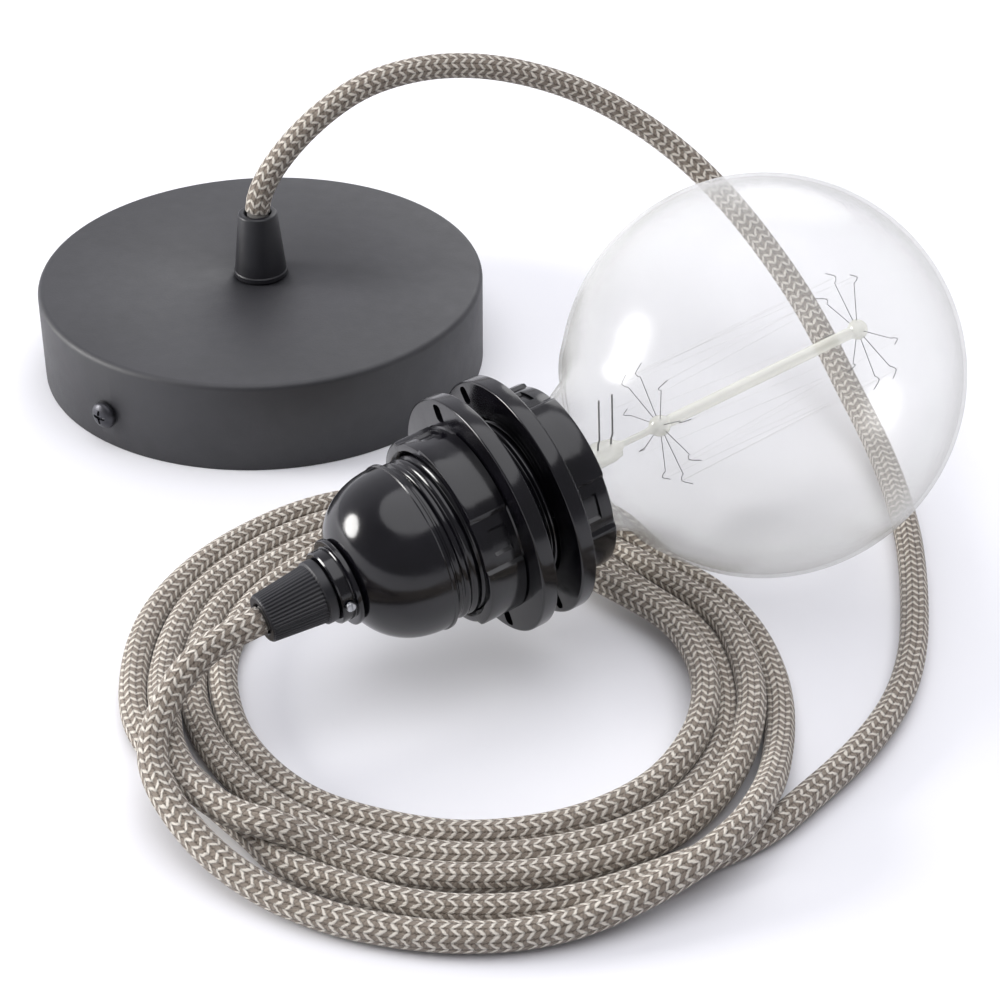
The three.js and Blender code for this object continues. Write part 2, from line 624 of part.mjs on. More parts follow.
function holderInsert() {
  const rear = insertFloor() - INSERT_LENGTH;
  const disc = SKIRT_BORE_RADIUS - RUN_GAP;
  const body = turned([
    [0, rear], [disc - 0.5, rear], [disc, rear + 0.5], [disc, insertFloor()],
    [threadTubeRadius(), insertFloor()], [threadTubeRadius(), THREAD_TUBE_END],
    [threadTubeBore(), THREAD_TUBE_END], [threadTubeBore(), insertFloor()], [0, insertFloor()],
  ], FACETS.large);
  const tools = [];
  for (const side of [-1, 1]) {
    const wireHole = [WIRE_RADIUS + RUN_GAP, rear - 1, insertFloor() - 1.2, side * POLE_WIRE_REACH];
    const screwHole = [POLE_SCREW_RADIUS + RUN_GAP, rear - 1, insertFloor() - 1.2, side * POLE_SCREW_REACH];
    tools.push(pin(...wireHole), pin(...screwHole));
  }
  const slotDepth = CONTACT_THICKNESS + 2 * RUN_GAP;
  const slot = [2 * slotDepth, CONTACT_WIDTH + 2 * RUN_GAP, THREAD_TUBE_END];
  tools.push(block(slot, [threadTubeBore(), 0, insertFloor() + 1 + THREAD_TUBE_END / 2]));
  return cut(body, ...tools);
}

const endContactTip = () => insertFloor() + CONTACT_RISE;

// The sprung brass tongue under the bulb's end contact.
function centreContact() {
  const low = insertFloor() + SEAT_GAP;
  const high = endContactTip() - SEAT_GAP;
  const t = CONTACT_THICKNESS;
  const side = new THREE.Shape();
  side.moveTo(-8.5, low);
  side.lineTo(-3.2, low);
  side.lineTo(1.2, high - t);
  side.lineTo(4, high - t);
  side.lineTo(4, high);
  side.lineTo(0.8, high);
  side.lineTo(-3.6, low + t);
  side.lineTo(-8.5, low + t);
  const options = { depth: CONTACT_WIDTH, bevelEnabled: false };
  return new THREE.ExtrudeGeometry(side, options).translate(0, 0, -CONTACT_WIDTH / 2).rotateX(Math.PI / 2);
}

function sideContact() {
  const low = insertFloor() + 1 + SEAT_GAP;
  const face = threadTubeBore() - RUN_GAP;
  const size = [CONTACT_THICKNESS, CONTACT_WIDTH, 12];
  return block(size, [face + CONTACT_THICKNESS / 2, 0, low + size[2] / 2]);
}

function holderWire(side) {
  const start = RELIEF_SPIGOT_END + 1.4 + 2 * SEAT_GAP;
  const rear = insertFloor() - INSERT_LENGTH;
  const reach = side * POLE_WIRE_REACH;
  const points = [
    [side * 1.45, 0, start], [side * 1.7, 0, start + 1.6], [side * 3.4, 0, start + 4],
    [reach * 0.93, 0, rear - 2.2], [reach, 0, rear], [reach, 0, rear + 3],
  ];
  return smoothCord(points, WIRE_RADIUS, FACETS.wire, 8);
}

// A ring nut with its flange at z = 0 and its collar above.
function ringNut(padTurn, slotTurn) {
  const bore = SKIRT_RADIUS + RUN_GAP;
  const pads = RING_COLLAR_RADIUS + RING_PAD_RISE;
  const height = RING_FLANGE_THICKNESS + RING_COLLAR_LENGTH;
  const collar = raised(padShape(padTurn), 0, height, 3);
  const flange = pin(RING_FLANGE_RADIUS, 0, RING_FLANGE_THICKNESS, 0, 0, FACETS.large);
  const envelope = turned([
    [0, 0], [RING_FLANGE_RADIUS - RING_EDGE, 0], [RING_FLANGE_RADIUS, RING_EDGE],
    [RING_FLANGE_RADIUS, RING_FLANGE_THICKNESS - RING_EDGE],
    [RING_FLANGE_RADIUS - RING_EDGE, RING_FLANGE_THICKNESS], [pads + 0.2, RING_FLANGE_THICKNESS],
    [pads, RING_FLANGE_THICKNESS + 0.2], [pads, height - RING_EDGE], [pads - RING_EDGE, height], [0, height],
  ], FACETS.large);
  const tools = [pin(bore, -1, height + 1, 0, 0, FACETS.large)];
  for (let i = 0; i < RING_PAD_COUNT; i += 1) {
    const gap = (360 / RING_PAD_COUNT - RING_PAD_SPAN) / 2;
    tools.push(pocket(padTurn + RING_PAD_SPAN + gap + (360 / RING_PAD_COUNT) * i));
  }
  for (const turn of [0, 180]) tools.push(flangeSlot(slotTurn + turn));
  return cut(common(joined(flange, collar), envelope), ...tools);
}

// The collar's outline: raised pads with lower stretches between them.
function padShape(padTurn) {
  const shape = new THREE.Shape();
  const step = 360 / RING_PAD_COUNT;
  for (let i = 0; i < RING_PAD_COUNT; i += 1) {
    const start = padTurn + step * i;
    const end = start + RING_PAD_SPAN;
    shape.absarc(0, 0, RING_COLLAR_RADIUS + RING_PAD_RISE, degrees(start), degrees(end), false);
    shape.absarc(0, 0, RING_COLLAR_RADIUS, degrees(end), degrees(start + step), false);
  }
  return shape;
}

// A shallow pocket in a low stretch of the collar, next to the flange.
function pocket(turn) {
  const outside = RING_COLLAR_RADIUS + 3;
  const floor = RING_COLLAR_RADIUS - RING_POCKET_DEPTH;
  const half = degrees(RING_POCKET_SPAN / 2);
  const shape = new THREE.Shape();
  shape.absarc(0, 0, outside, degrees(turn) - half, degrees(turn) + half, false);
  shape.absarc(0, 0, floor, degrees(turn) + half, degrees(turn) - half, true);
  const low = RING_FLANGE_THICKNESS + 2;
  return raised(shape, low, low + RING_POCKET_LENGTH, 1);
}

function flangeSlot(turn) {
  const half = (RING_SLOT_LENGTH - RING_SLOT_WIDTH) / 2;
  const radius = RING_SLOT_WIDTH / 2;
  const shape = new THREE.Shape();
  shape.absarc(RING_SLOT_PLACE + half, 0, radius, -Math.PI / 2, Math.PI / 2, false);
  shape.absarc(RING_SLOT_PLACE - half, 0, radius, Math.PI / 2, 1.5 * Math.PI, false);
  return raised(shape, -1, RING_FLANGE_THICKNESS + 1, 3).rotateZ(degrees(turn));
}

function addHolder(head) {
  addPiece(head, "holder_cord_grip", holderGrip(), "grip");
  addPiece(head, "holder_cap", holderCap(), "plastic");
  addPiece(head, "cap_lock_screw", lockScrew(), "steel");
  addPiece(head, "holder_skirt", holderSkirt(), "plastic");
  addPiece(head, "holder_insert", holderInsert(), "ceramic");
  addPiece(head, "centre_contact", centreContact(), "brass");
  addPiece(head, "side_contact", sideContact(), "brass");
  const tail = pin(SHEATH_RADIUS, RELIEF_START + SEAT_GAP, RELIEF_SPIGOT_END + 1.4);
  addPiece(head, "holder_cord_tail", tail, "cord");
  addPiece(head, "holder_wire_live", holderWire(1), "live");
  addPiece(head, "holder_wire_neutral", holderWire(-1), "neutral");
  const rear = insertFloor() - INSERT_LENGTH;
  for (const [i, side] of [1, -1].entries()) {
    const screw = slottedScrew(POLE_SCREW_RADIUS, POLE_SCREW_LENGTH, 0.7).rotateY(Math.PI);
    const place = [side * POLE_SCREW_REACH, 0, rear + 0.6];
    addPiece(head, `holder_terminal_screw_${i + 1}`, screw, "brass").position.set(...place);
  }
  const rearRing = ringNut(180 - REAR_RING_TURN - RING_PAD_SPAN, 180 - REAR_SLOT_TURN);
  rearRing.rotateY(Math.PI).translate(0, 0, REAR_RING_END);
  addPiece(head, "ring_nut_rear", rearRing, "plastic");
  const frontRing = ringNut(FRONT_RING_TURN, FRONT_SLOT_TURN);
  frontRing.translate(0, 0, REAR_RING_END + RING_CLAMP_GAP);
  addPiece(head, "ring_nut_front", frontRing, "plastic");
}

// Bulb, in the same axis as the lampholder

const shellEnd = () => shellStart() + LAMP_CAP_LENGTH - END_CONTACT_HEIGHT;
const shellStart = () => endContactTip() + END_CONTACT_HEIGHT + SEAT_GAP + INSULATOR_HEIGHT - 1;
const neckFoot = () => shellEnd() - NECK_DEPTH;
const bulbEnd = () => endContactTip() + BULB_LENGTH;
const globeCentre = () => bulbEnd() - GLOBE_RADIUS;
const pinchStart = () => shellEnd() + PINCH_RISE;
const pinchEnd = () => pinchStart() + PINCH_LENGTH;
const lowerHub = () => pinchEnd() + LOWER_HUB_RISE;
const upperHub = () => bulbEnd() - UPPER_HUB_SPACE;

function envelopeOutline() {
  const rim = shellEnd();
  const length = globeCentre() - GLOBE_RADIUS * Math.sin(degrees(FLARE_JOIN_TURN)) - rim;
  const rise = GLOBE_RADIUS * Math.cos(degrees(FLARE_JOIN_TURN)) - NECK_RADIUS;
  const flare = FLARE_SHAPE.map(([radius, place]) => [NECK_RADIUS + radius * rise, rim + place * length]);
  const globe = arc([0, globeCentre()], GLOBE_RADIUS, GLOBE_RADIUS, -FLARE_JOIN_TURN, 90, 10);
  return [[NECK_RADIUS, neckFoot()], [NECK_RADIUS, rim - 0.6], ...flare, ...globe];
}

// The glass's outer radius at a place on the axis.
function glassRadius(place) {
  const outline = envelopeOutline();
  const next = outline.findIndex(([, z]) => z > place);
  const [[r0, z0], [r1, z1]] = [outline[next - 1], outline[next]];
  return r0 + ((r1 - r0) * (place - z0)) / (z1 - z0);
}

// The outline moved inwards by the glass's thickness, as the inner wall.
function inset(outline, depth) {
  return outline.map((point, i) => {
    const before = outline[Math.max(i - 1, 0)];
    const after = outline[Math.min(i + 1, outline.length - 1)];
    const [dr, dz] = [after[0] - before[0], after[1] - before[1]];
    const length = Math.hypot(dr, dz);
    if (point[0] < 1e-6) return [0, point[1] - depth];
    return [point[0] - (depth * dz) / length, point[1] + (depth * dr) / length];
  });
}

function bulbEnvelope() {
  const outline = envelopeOutline();
  outline[outline.length - 1][0] = 0;
  const inner = inset(outline, GLASS_WALL);
  inner[0][1] = outline[0][1];
  return turned([...[...inner].reverse(), ...outline], FACETS.large);
}

function bulbCapShell() {
  const start = shellStart();
  const end = shellEnd();
  const inner = LAMP_THREAD_RADIUS - LAMP_SHELL_WALL;
  const narrow = END_CONTACT_RADIUS + 4.4;
  return ringTurned([
    [narrow - LAMP_SHELL_WALL, start], [narrow, start], [LAMP_THREAD_RADIUS - 1.4, start + 2.4],
    [LAMP_THREAD_RADIUS - 0.4, start + 3.4], [LAMP_THREAD_RADIUS, start + 5],
    [LAMP_THREAD_RADIUS, end], [inner, end], [inner, start + 5.2],
    [inner - 1.4, start + 3.2],
  ], FACETS.medium);
}

function bulbCapInsulator() {
  const low = endContactTip() + END_CONTACT_HEIGHT + SEAT_GAP;
  const high = shellStart() - SEAT_GAP;
  const narrow = END_CONTACT_RADIUS + 4.4;
  return turned([
    [0, low], [END_CONTACT_RADIUS + 0.6, low], [narrow, high - 0.4], [narrow, high],
    [narrow - LAMP_SHELL_WALL - RUN_GAP, high], [narrow - LAMP_SHELL_WALL - RUN_GAP, high + 1.2],
    [0, high + 1.2],
  ], FACETS.small);
}

function endContact() {
  const tip = endContactTip();
  const crown = arc([0, tip + END_CONTACT_HEIGHT], END_CONTACT_RADIUS, -END_CONTACT_HEIGHT, 90, 0, 3);
  return turned([...crown, [0, tip + END_CONTACT_HEIGHT]], FACETS.small);
}

// Flared stem tube, pinch, rod and the two hubs, fused in one piece of glass.
function bulbStem() {
  const foot = neckFoot() + 1;
  const wide = NECK_RADIUS - GLASS_WALL - SEAT_GAP;
  const w = STEM_FLARE_WALL;
  const tube = turned([
    [0, pinchStart() - 3], [3.3, pinchStart() - 5], [3.5, foot + 9], [5.6, foot + 4], [wide - w, foot],
    [wide, foot], [5.6 + w, foot + 4.6], [3.5 + w, foot + 9.4], [3.3 + w, pinchStart()], [0, pinchStart() + 1],
  ], FACETS.small);
  const flat = PINCH_THICKNESS / PINCH_WIDTH;
  const pinch = turned([
    [0, pinchStart() - 1], [PINCH_WIDTH / 2 - 0.8, pinchStart() - 0.6], [PINCH_WIDTH / 2, pinchStart() + 2],
    [PINCH_WIDTH / 2, pinchEnd() - 3], [PINCH_WIDTH / 2 - 1.4, pinchEnd() - 0.8], [0, pinchEnd()],
  ], FACETS.small).scale(1, flat, 1);
  const rod = pin(ROD_RADIUS, pinchEnd() - 1.5, upperHub(), 0, 0, 8);
  const hubs = [lowerHub(), upperHub()].map((place) => {
    const profile = arc([0, place], HUB_RADIUS, HUB_LENGTH / 2, -90, 90, 4);
    profile[0][0] = 0;
    profile[4][0] = 0;
    return turned(profile, FACETS.pin);
  });
  return joined(tube, pinch, rod, ...hubs);
}

// A hooked wire that stands out from a hub. The hook's crook opens away from the other hub.
function hookWire(place, facing) {
  const start = HUB_RADIUS + SEAT_GAP;
  const crook = HOOK_REACH - 2.6;
  const points = [
    [start, 0, place], [crook, 0, place - facing * 0.6], [crook + 0.9, 0, place - facing * 1.7],
    [HOOK_REACH, 0, place + facing * 0.6],
  ];
  return bentWire(points, HOOK_WIRE_RADIUS);
}

const lowerTurn = (i) => LOWER_HOOK_TURN - (360 / LOWER_HOOKS) * i;
const upperTurn = (i) => UPPER_HOOK_TURN - (320 / UPPER_HOOKS) * i;
const leadPlace = (i) => pinchEnd() - 2 - LEAD_SPACING * i;
const leadReach = () => glassRadius(leadPlace(1)) - GLASS_WALL - LEAD_CLEARANCE;

// A lead wire that leaves the pinch and rises to its end of the filament.
function leadWire(place) {
  const side = PINCH_THICKNESS / 2 + SEAT_GAP;
  const points = [[side, 0, place], [side + 1.4, 0, place], [side + 2.6, 0, place + 0.5], [leadReach(), 0, place + 0.5]];
  return bentWire(points, LEAD_RADIUS).rotateZ(degrees(LEAD_TURN));
}

function onRadius(radius, turn, z) {
  return [radius * Math.cos(degrees(turn)), radius * Math.sin(degrees(turn)), z];
}

// The long filament: up and down between the hooks, round each of them.
function filament() {
  const radius = HOOK_REACH - 1.9;
  const spread = 2.6; // degrees to each side of a hook
  const low = lowerHub() - 2.6;
  const high = upperHub() + 2.6;
  const points = [onRadius(leadReach() - 1.2, lowerTurn(0) + 4, leadPlace(1) + 1.6)];
  for (let i = 0; i < LOWER_HOOKS; i += 1) {
    for (const side of [1, -1]) points.push(onRadius(radius, lowerTurn(i) + side * spread, low));
    if (i >= UPPER_HOOKS) break;
    for (const side of [1, -1]) points.push(onRadius(radius, upperTurn(i) + side * spread, high));
  }
  points.push(onRadius(radius, lowerTurn(LOWER_HOOKS - 1) - 6, low - 4));
  return bentWire(points, FILAMENT_RADIUS, 4);
}

function addBulb(head) {
  addPiece(head, "bulb_envelope", bulbEnvelope(), "glass");
  addPiece(head, "bulb_cap_shell", bulbCapShell(), "brass");
  addPiece(head, "bulb_cap_insulator", bulbCapInsulator(), "darkGlass");
  addPiece(head, "bulb_end_contact", endContact(), "steel");
  addPiece(head, "bulb_stem", bulbStem(), "glass");
  for (const i of [0, 1]) {
    addPiece(head, `lead_wire_${i + 1}`, leadWire(leadPlace(i)), "wire");
  }
  for (let i = 0; i < LOWER_HOOKS; i += 1) {
    const wire = hookWire(lowerHub(), 1).rotateZ(degrees(lowerTurn(i)));
    addPiece(head, `support_wire_lower_${i + 1}`, wire, "wire");
  }
  for (let i = 0; i < UPPER_HOOKS; i += 1) {
    const wire = hookWire(upperHub(), -1).rotateZ(degrees(upperTurn(i)));
    addPiece(head, `support_wire_upper_${i + 1}`, wire, "wire");
  }
  addPiece(head, "filament", filament(), "filament");
}

// The head's own frame: +Z from the cord to the bulb, +Y the way up.
function placedHead() {
  const [turn, climb] = [degrees(HEAD_TURN), degrees(HEAD_CLIMB)];
  const along = new THREE.Vector3(Math.cos(climb) * Math.cos(turn), Math.cos(climb) * Math.sin(turn), Math.sin(climb));
  const across = new THREE.Vector3(-Math.sin(turn), Math.cos(turn), 0);
  const up = along.clone().cross(across);
  const head = new THREE.Group();
  head.setRotationFromMatrix(new THREE.Matrix4().makeBasis(across, up, along));
  const globe = new THREE.Vector3(...GLOBE_PLACE, GLOBE_RADIUS);
  head.position.copy(globe).addScaledVector(along, -globeCentre());
  return head;
}

// Free cord: the stretch from the cup, the coil, and the stretch up to the lampholder

function coilRing() {
  const [inner, outer] = [COIL_INNER_RADIUS, COIL_OUTER_RADIUS];
  const round = 2.2;
  const ring = ringTurned([
    [inner + round, 0], [outer - round, 0], [outer, round], [outer, COIL_HEIGHT - round],
    [outer - round, COIL_HEIGHT], [inner + round, COIL_HEIGHT], [inner, COIL_HEIGHT - round], [inner, round],
  ], 36).translate(...COIL_CENTRE, 0);
  const globe = new THREE.SphereGeometry(GLOBE_RADIUS + 3 * SEAT_GAP, 48, 24);
  return cut(ring, globe.translate(...GLOBE_PLACE, GLOBE_RADIUS));
}

function addCord(set) {
  addPiece(set, "cord_arch", smoothCord(ARCH_ROUTE, CORD_RADIUS, CORD_SIDES, 36), "cord");
  addPiece(set, "cord_coil", coilRing(), "cord");
  addPiece(set, "cord_lead_in", smoothCord(LEAD_IN_ROUTE, CORD_RADIUS, CORD_SIDES, 16), "cord");
}

// The whole set, with the origin under the middle of all that is not free cord.
const set = new THREE.Group();
const head = placedHead();
set.add(head);
addCup(set);
addHolder(head);
addBulb(head);
set.updateMatrixWorld(true);
const extent = new THREE.Box3().setFromObject(set, true);
set.position.set(-(extent.min.x + extent.max.x) / 2, -(extent.min.y + extent.max.y) / 2, -extent.min.z);
addCord(set);

export default set;
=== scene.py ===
"""Dresses a pendant cord set: ceiling cup, coiled textile cord, threaded lampholder and globe bulb.

Shapes are drawn in millimetres, in the frame of the cup or of the head. They are put in the part's own frame,
in metres, when they are finished.
"""

from __future__ import annotations

import json
import logging
import math
from dataclasses import dataclass, field
from enum import Enum
from typing import Any, Callable, Iterable, Sequence

import bmesh
import bpy
import numpy as np
from mathutils import Matrix, Vector

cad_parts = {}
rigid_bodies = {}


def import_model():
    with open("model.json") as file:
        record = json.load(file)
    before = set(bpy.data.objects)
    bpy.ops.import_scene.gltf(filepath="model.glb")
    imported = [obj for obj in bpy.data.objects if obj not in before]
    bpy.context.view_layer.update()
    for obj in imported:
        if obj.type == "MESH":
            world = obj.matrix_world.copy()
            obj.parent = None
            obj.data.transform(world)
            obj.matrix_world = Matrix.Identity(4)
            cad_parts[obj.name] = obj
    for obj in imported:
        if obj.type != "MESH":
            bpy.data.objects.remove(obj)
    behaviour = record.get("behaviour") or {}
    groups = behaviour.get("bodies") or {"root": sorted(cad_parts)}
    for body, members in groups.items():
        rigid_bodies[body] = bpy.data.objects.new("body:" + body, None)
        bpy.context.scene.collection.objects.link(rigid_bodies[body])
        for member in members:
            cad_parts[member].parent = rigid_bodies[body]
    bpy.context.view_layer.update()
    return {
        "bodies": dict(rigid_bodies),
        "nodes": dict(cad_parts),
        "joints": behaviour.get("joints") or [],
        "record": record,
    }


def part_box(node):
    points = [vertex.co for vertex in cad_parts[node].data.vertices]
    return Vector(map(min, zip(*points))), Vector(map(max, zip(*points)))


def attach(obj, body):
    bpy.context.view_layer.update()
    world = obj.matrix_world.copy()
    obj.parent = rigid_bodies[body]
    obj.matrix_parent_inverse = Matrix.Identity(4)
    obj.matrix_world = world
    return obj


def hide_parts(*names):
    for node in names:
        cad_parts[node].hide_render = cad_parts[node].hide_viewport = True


log = logging.getLogger("pendant_cord_set")

MM = 0.001
Point = Sequence[float]
Colour = tuple[float, float, float]
Outline = list[tuple[float, float]]


class Body(Enum):
    """The rigid bodies that a piece can ride on."""

    SET = "set"
    REAR_RING = "rear_ring"
    FRONT_RING = "front_ring"


# Shader tools


class Signal:
    """One shader value, so that sums and products of it read as plain expressions."""

    def __init__(self, sheet: "Sheet", socket: bpy.types.NodeSocket) -> None:
        """Keeps the socket that carries the value.

        Args:
            sheet: the material's sheet of nodes.
            socket: the output socket to wrap.
        """
        self.sheet = sheet
        self.socket = socket

    def _maths(self, operation: str, *values: Any) -> "Signal":
        """Adds a Math node over the given values."""
        return self.sheet.out("ShaderNodeMath", {"operation": operation}, dict(enumerate(values)))

    def __add__(self, other: Any) -> "Signal":
        """Sum."""
        return self._maths("ADD", self, other)

    __radd__ = __add__

    def __sub__(self, other: Any) -> "Signal":
        """Difference."""
        return self._maths("SUBTRACT", self, other)

    def __rsub__(self, other: Any) -> "Signal":
        """Difference from a plain number."""
        return self._maths("SUBTRACT", other, self)

    def __mul__(self, other: Any) -> "Signal":
        """Product."""
        return self._maths("MULTIPLY", self, other)

    __rmul__ = __mul__

    def __truediv__(self, other: Any) -> "Signal":
        """Quotient."""
        return self._maths("DIVIDE", self, other)

    def __pow__(self, other: Any) -> "Signal":
        """Power."""
        return self._maths("POWER", self, other)

    def fraction(self) -> "Signal":
        """The part after the decimal point."""
        return self._maths("FRACT", self)

    def zigzag(self) -> "Signal":
        """A triangle wave from 0 to 1 with one tooth for each unit."""
        return self._maths("PINGPONG", self * 2.0, 1.0)

    def sine(self) -> "Signal":
        """A sine wave with one period for each unit, from 0 to 1."""
        return self._maths("SINE", self * (2 * math.pi)) * 0.5 + 0.5

    def ease(self, low: float, high: float) -> "Signal":
        """A smooth step from 0 at low to 1 at high."""
        inputs = {"Value": self, "From Min": low, "From Max": high}
        return self.sheet.out("ShaderNodeMapRange", {"interpolation_type": "SMOOTHSTEP"}, inputs)


class Sheet:
    """The node sheet of one material."""

    def __init__(self, name: str) -> None:
        """Starts a material that holds a Principled shader and an output.

        Args:
            name: the material's name.
        """
        self.material = bpy.data.materials.new(name)
        self.material.use_nodes = True
        self.tree = self.material.node_tree
        self.tree.nodes.clear()
        self.shader = self.node("ShaderNodeBsdfPrincipled", {}, {})
        self.node("ShaderNodeOutputMaterial", {}, {"Surface": self.shader.outputs[0]})

    def node(self, kind: str, settings: dict[str, Any], inputs: dict[Any, Any]) -> bpy.types.Node:
        """Adds one node.

        Args:
            kind: the node's type.
            settings: its own settings, set first.
            inputs: a value, a Signal or an output socket for each input that is named or numbered.

        Returns:
            The new node.
        """
        made = self.tree.nodes.new(kind)
        for key, value in settings.items():
            setattr(made, key, value)
        for key, value in inputs.items():
            socket = made.inputs[key]
            source = value.socket if isinstance(value, Signal) else value
            if isinstance(source, bpy.types.NodeSocket):
                self.tree.links.new(source, socket)
            else:
                socket.default_value = source
        return made

    def out(self, kind: str, settings: dict[str, Any], inputs: dict[Any, Any], output: Any = 0) -> Signal:
        """Adds one node and gives one of its outputs."""
        return Signal(self, self.node(kind, settings, inputs).outputs[output])

    def place(self) -> Signal:
        """The point's place on the object."""
        return self.out("ShaderNodeTexCoord", {}, {}, "Object")

    def noise(self, size: float, detail: float = 3.0, vector: Signal | None = None) -> Signal:
        """Noise whose lumps are about size metres across."""
        inputs = {"Vector": vector or self.place(), "Scale": 1.0 / size, "Detail": detail}
        return self.out("ShaderNodeTexNoise", {}, inputs, "Fac")

    def mixed(self, share: Any, first: Any, second: Any) -> Signal:
        """A blend of two colours."""
        wide = [(*colour, 1.0) if isinstance(colour, tuple) else colour for colour in (first, second)]
        settings = {"data_type": "RGBA"}
        return self.out("ShaderNodeMix", settings, {0: share, 6: wide[0], 7: wide[1]}, 2)

    def bump(self, height: Signal, depth: float) -> Signal:
        """A normal from a height of 0 to 1 that stands for depth metres."""
        return self.out("ShaderNodeBump", {}, {"Height": height, "Distance": depth}, "Normal")

    def set(self, **values: Any) -> None:
        """Sets inputs of the shader; an underscore in a name stands for a space."""
        for key, value in values.items():
            socket = self.shader.inputs[key.replace("_", " ")]
            if isinstance(value, Signal):
                self.tree.links.new(value.socket, socket)
            else:
                socket.default_value = (*value, 1.0) if isinstance(value, tuple) else value


# Finishes


@dataclass(frozen=True)
class Moulded:
    """Moulded plastic or ceramic: fine grain, faint mottling and a little handling sheen."""

    name: str
    colour: Colour
    roughness: float
    grain: float = 0.00035
    depth: float = 0.000012
    mottle: float = 0.25
    coat: float = 0.0

    def make(self) -> bpy.types.Material:
        """Builds the material."""
        sheet = Sheet(self.name)
        cloud = sheet.noise(0.012, 4.0)
        fine = sheet.noise(self.grain, 2.0)
        light = tuple(min(1.0, c * (1 + self.mottle)) for c in self.colour)
        dark = tuple(c * (1 - self.mottle) for c in self.colour)
        colour = sheet.mixed(cloud.ease(0.3, 0.7), dark, light)
        smear = sheet.noise(0.006, 5.0).ease(0.45, 0.75)
        sheet.set(
            Base_Color=colour,
            Roughness=self.roughness + smear * 0.09 + (fine - 0.5) * 0.05,
            Normal=sheet.bump(fine * 0.7 + cloud * 0.3, self.depth),
            Coat_Weight=self.coat,
            Coat_Roughness=0.06,
        )
        return sheet.material


@dataclass(frozen=True)
class PowderPaint:
    """Powder coat on sheet steel: a close orange-peel texture with a dull sheen."""

    name: str
    colour: Colour

    def make(self) -> bpy.types.Material:
        """Builds the material."""
        sheet = Sheet(self.name)
        peel = sheet.noise(0.0007, 2.0)
        dust = sheet.noise(0.00022, 1.0).ease(0.62, 0.72)
        cloud = sheet.noise(0.03, 3.0).ease(0.35, 0.7)
        lighter = tuple(c * 1.5 + 0.004 for c in self.colour)
        sheet.set(
            Base_Color=sheet.mixed(cloud * 0.45 + dust * 0.3, self.colour, lighter),
            Roughness=0.5 + sheet.noise(0.004, 4.0) * 0.12 + dust * 0.1,
            Normal=sheet.bump(peel * 0.8 + dust * 0.2, 0.00003),
            Specular_IOR_Level=0.7,
        )
        return sheet.material


@dataclass(frozen=True)
class Metal:
    """Plated or plain metal with fine brushing and darker patches where it has been handled."""

    name: str
    colour: Colour
    roughness: float
    tarnish: float = 0.35

    def make(self) -> bpy.types.Material:
        """Builds the material."""
        sheet = Sheet(self.name)
        stretched = sheet.out("ShaderNodeMapping", {}, {"Vector": sheet.place(), "Scale": (1.0, 1.0, 9.0)})
        brushing = sheet.noise(0.0009, 4.0, stretched)
        patch = sheet.noise(0.005, 4.0).ease(0.42, 0.72)
        dark = tuple(c * (1 - self.tarnish) for c in self.colour)
        sheet.set(
            Base_Color=sheet.mixed(patch, self.colour, dark),
            Metallic=1.0,
            Roughness=self.roughness + patch * 0.14 + (brushing - 0.5) * 0.16,
            Normal=sheet.bump(brushing, 0.000008),
        )
        return sheet.material


@dataclass(frozen=True)
class ClearGlass:
    """Blown glass that is almost clear face on and shows at its rims."""

    name: str
    colour: Colour
    edge: Colour
    face: float
    rim: float
    haze: float = 0.03
    bend: float = 1.62

    def make(self) -> bpy.types.Material:
        """Builds the material."""
        sheet = Sheet(self.name)
        facing = sheet.out("ShaderNodeLayerWeight", {}, {"Blend": 0.5}, "Facing")
        ripple = sheet.noise(0.02, 2.0)
        grazing = facing**4.0
        sheet.set(
            # Painted shade: the colour darkens towards the rims, for the dark lines that refraction and
            # reflection draw along the glass's outline.
            Base_Color=sheet.mixed(grazing, self.colour, self.edge),
            Roughness=self.haze + ripple * 0.02,
            Alpha=self.face + grazing * (self.rim - self.face),
            Normal=sheet.bump(ripple, 0.0001),
            Specular_IOR_Level=1.0,
            IOR=self.bend,
        )
        return sheet.material


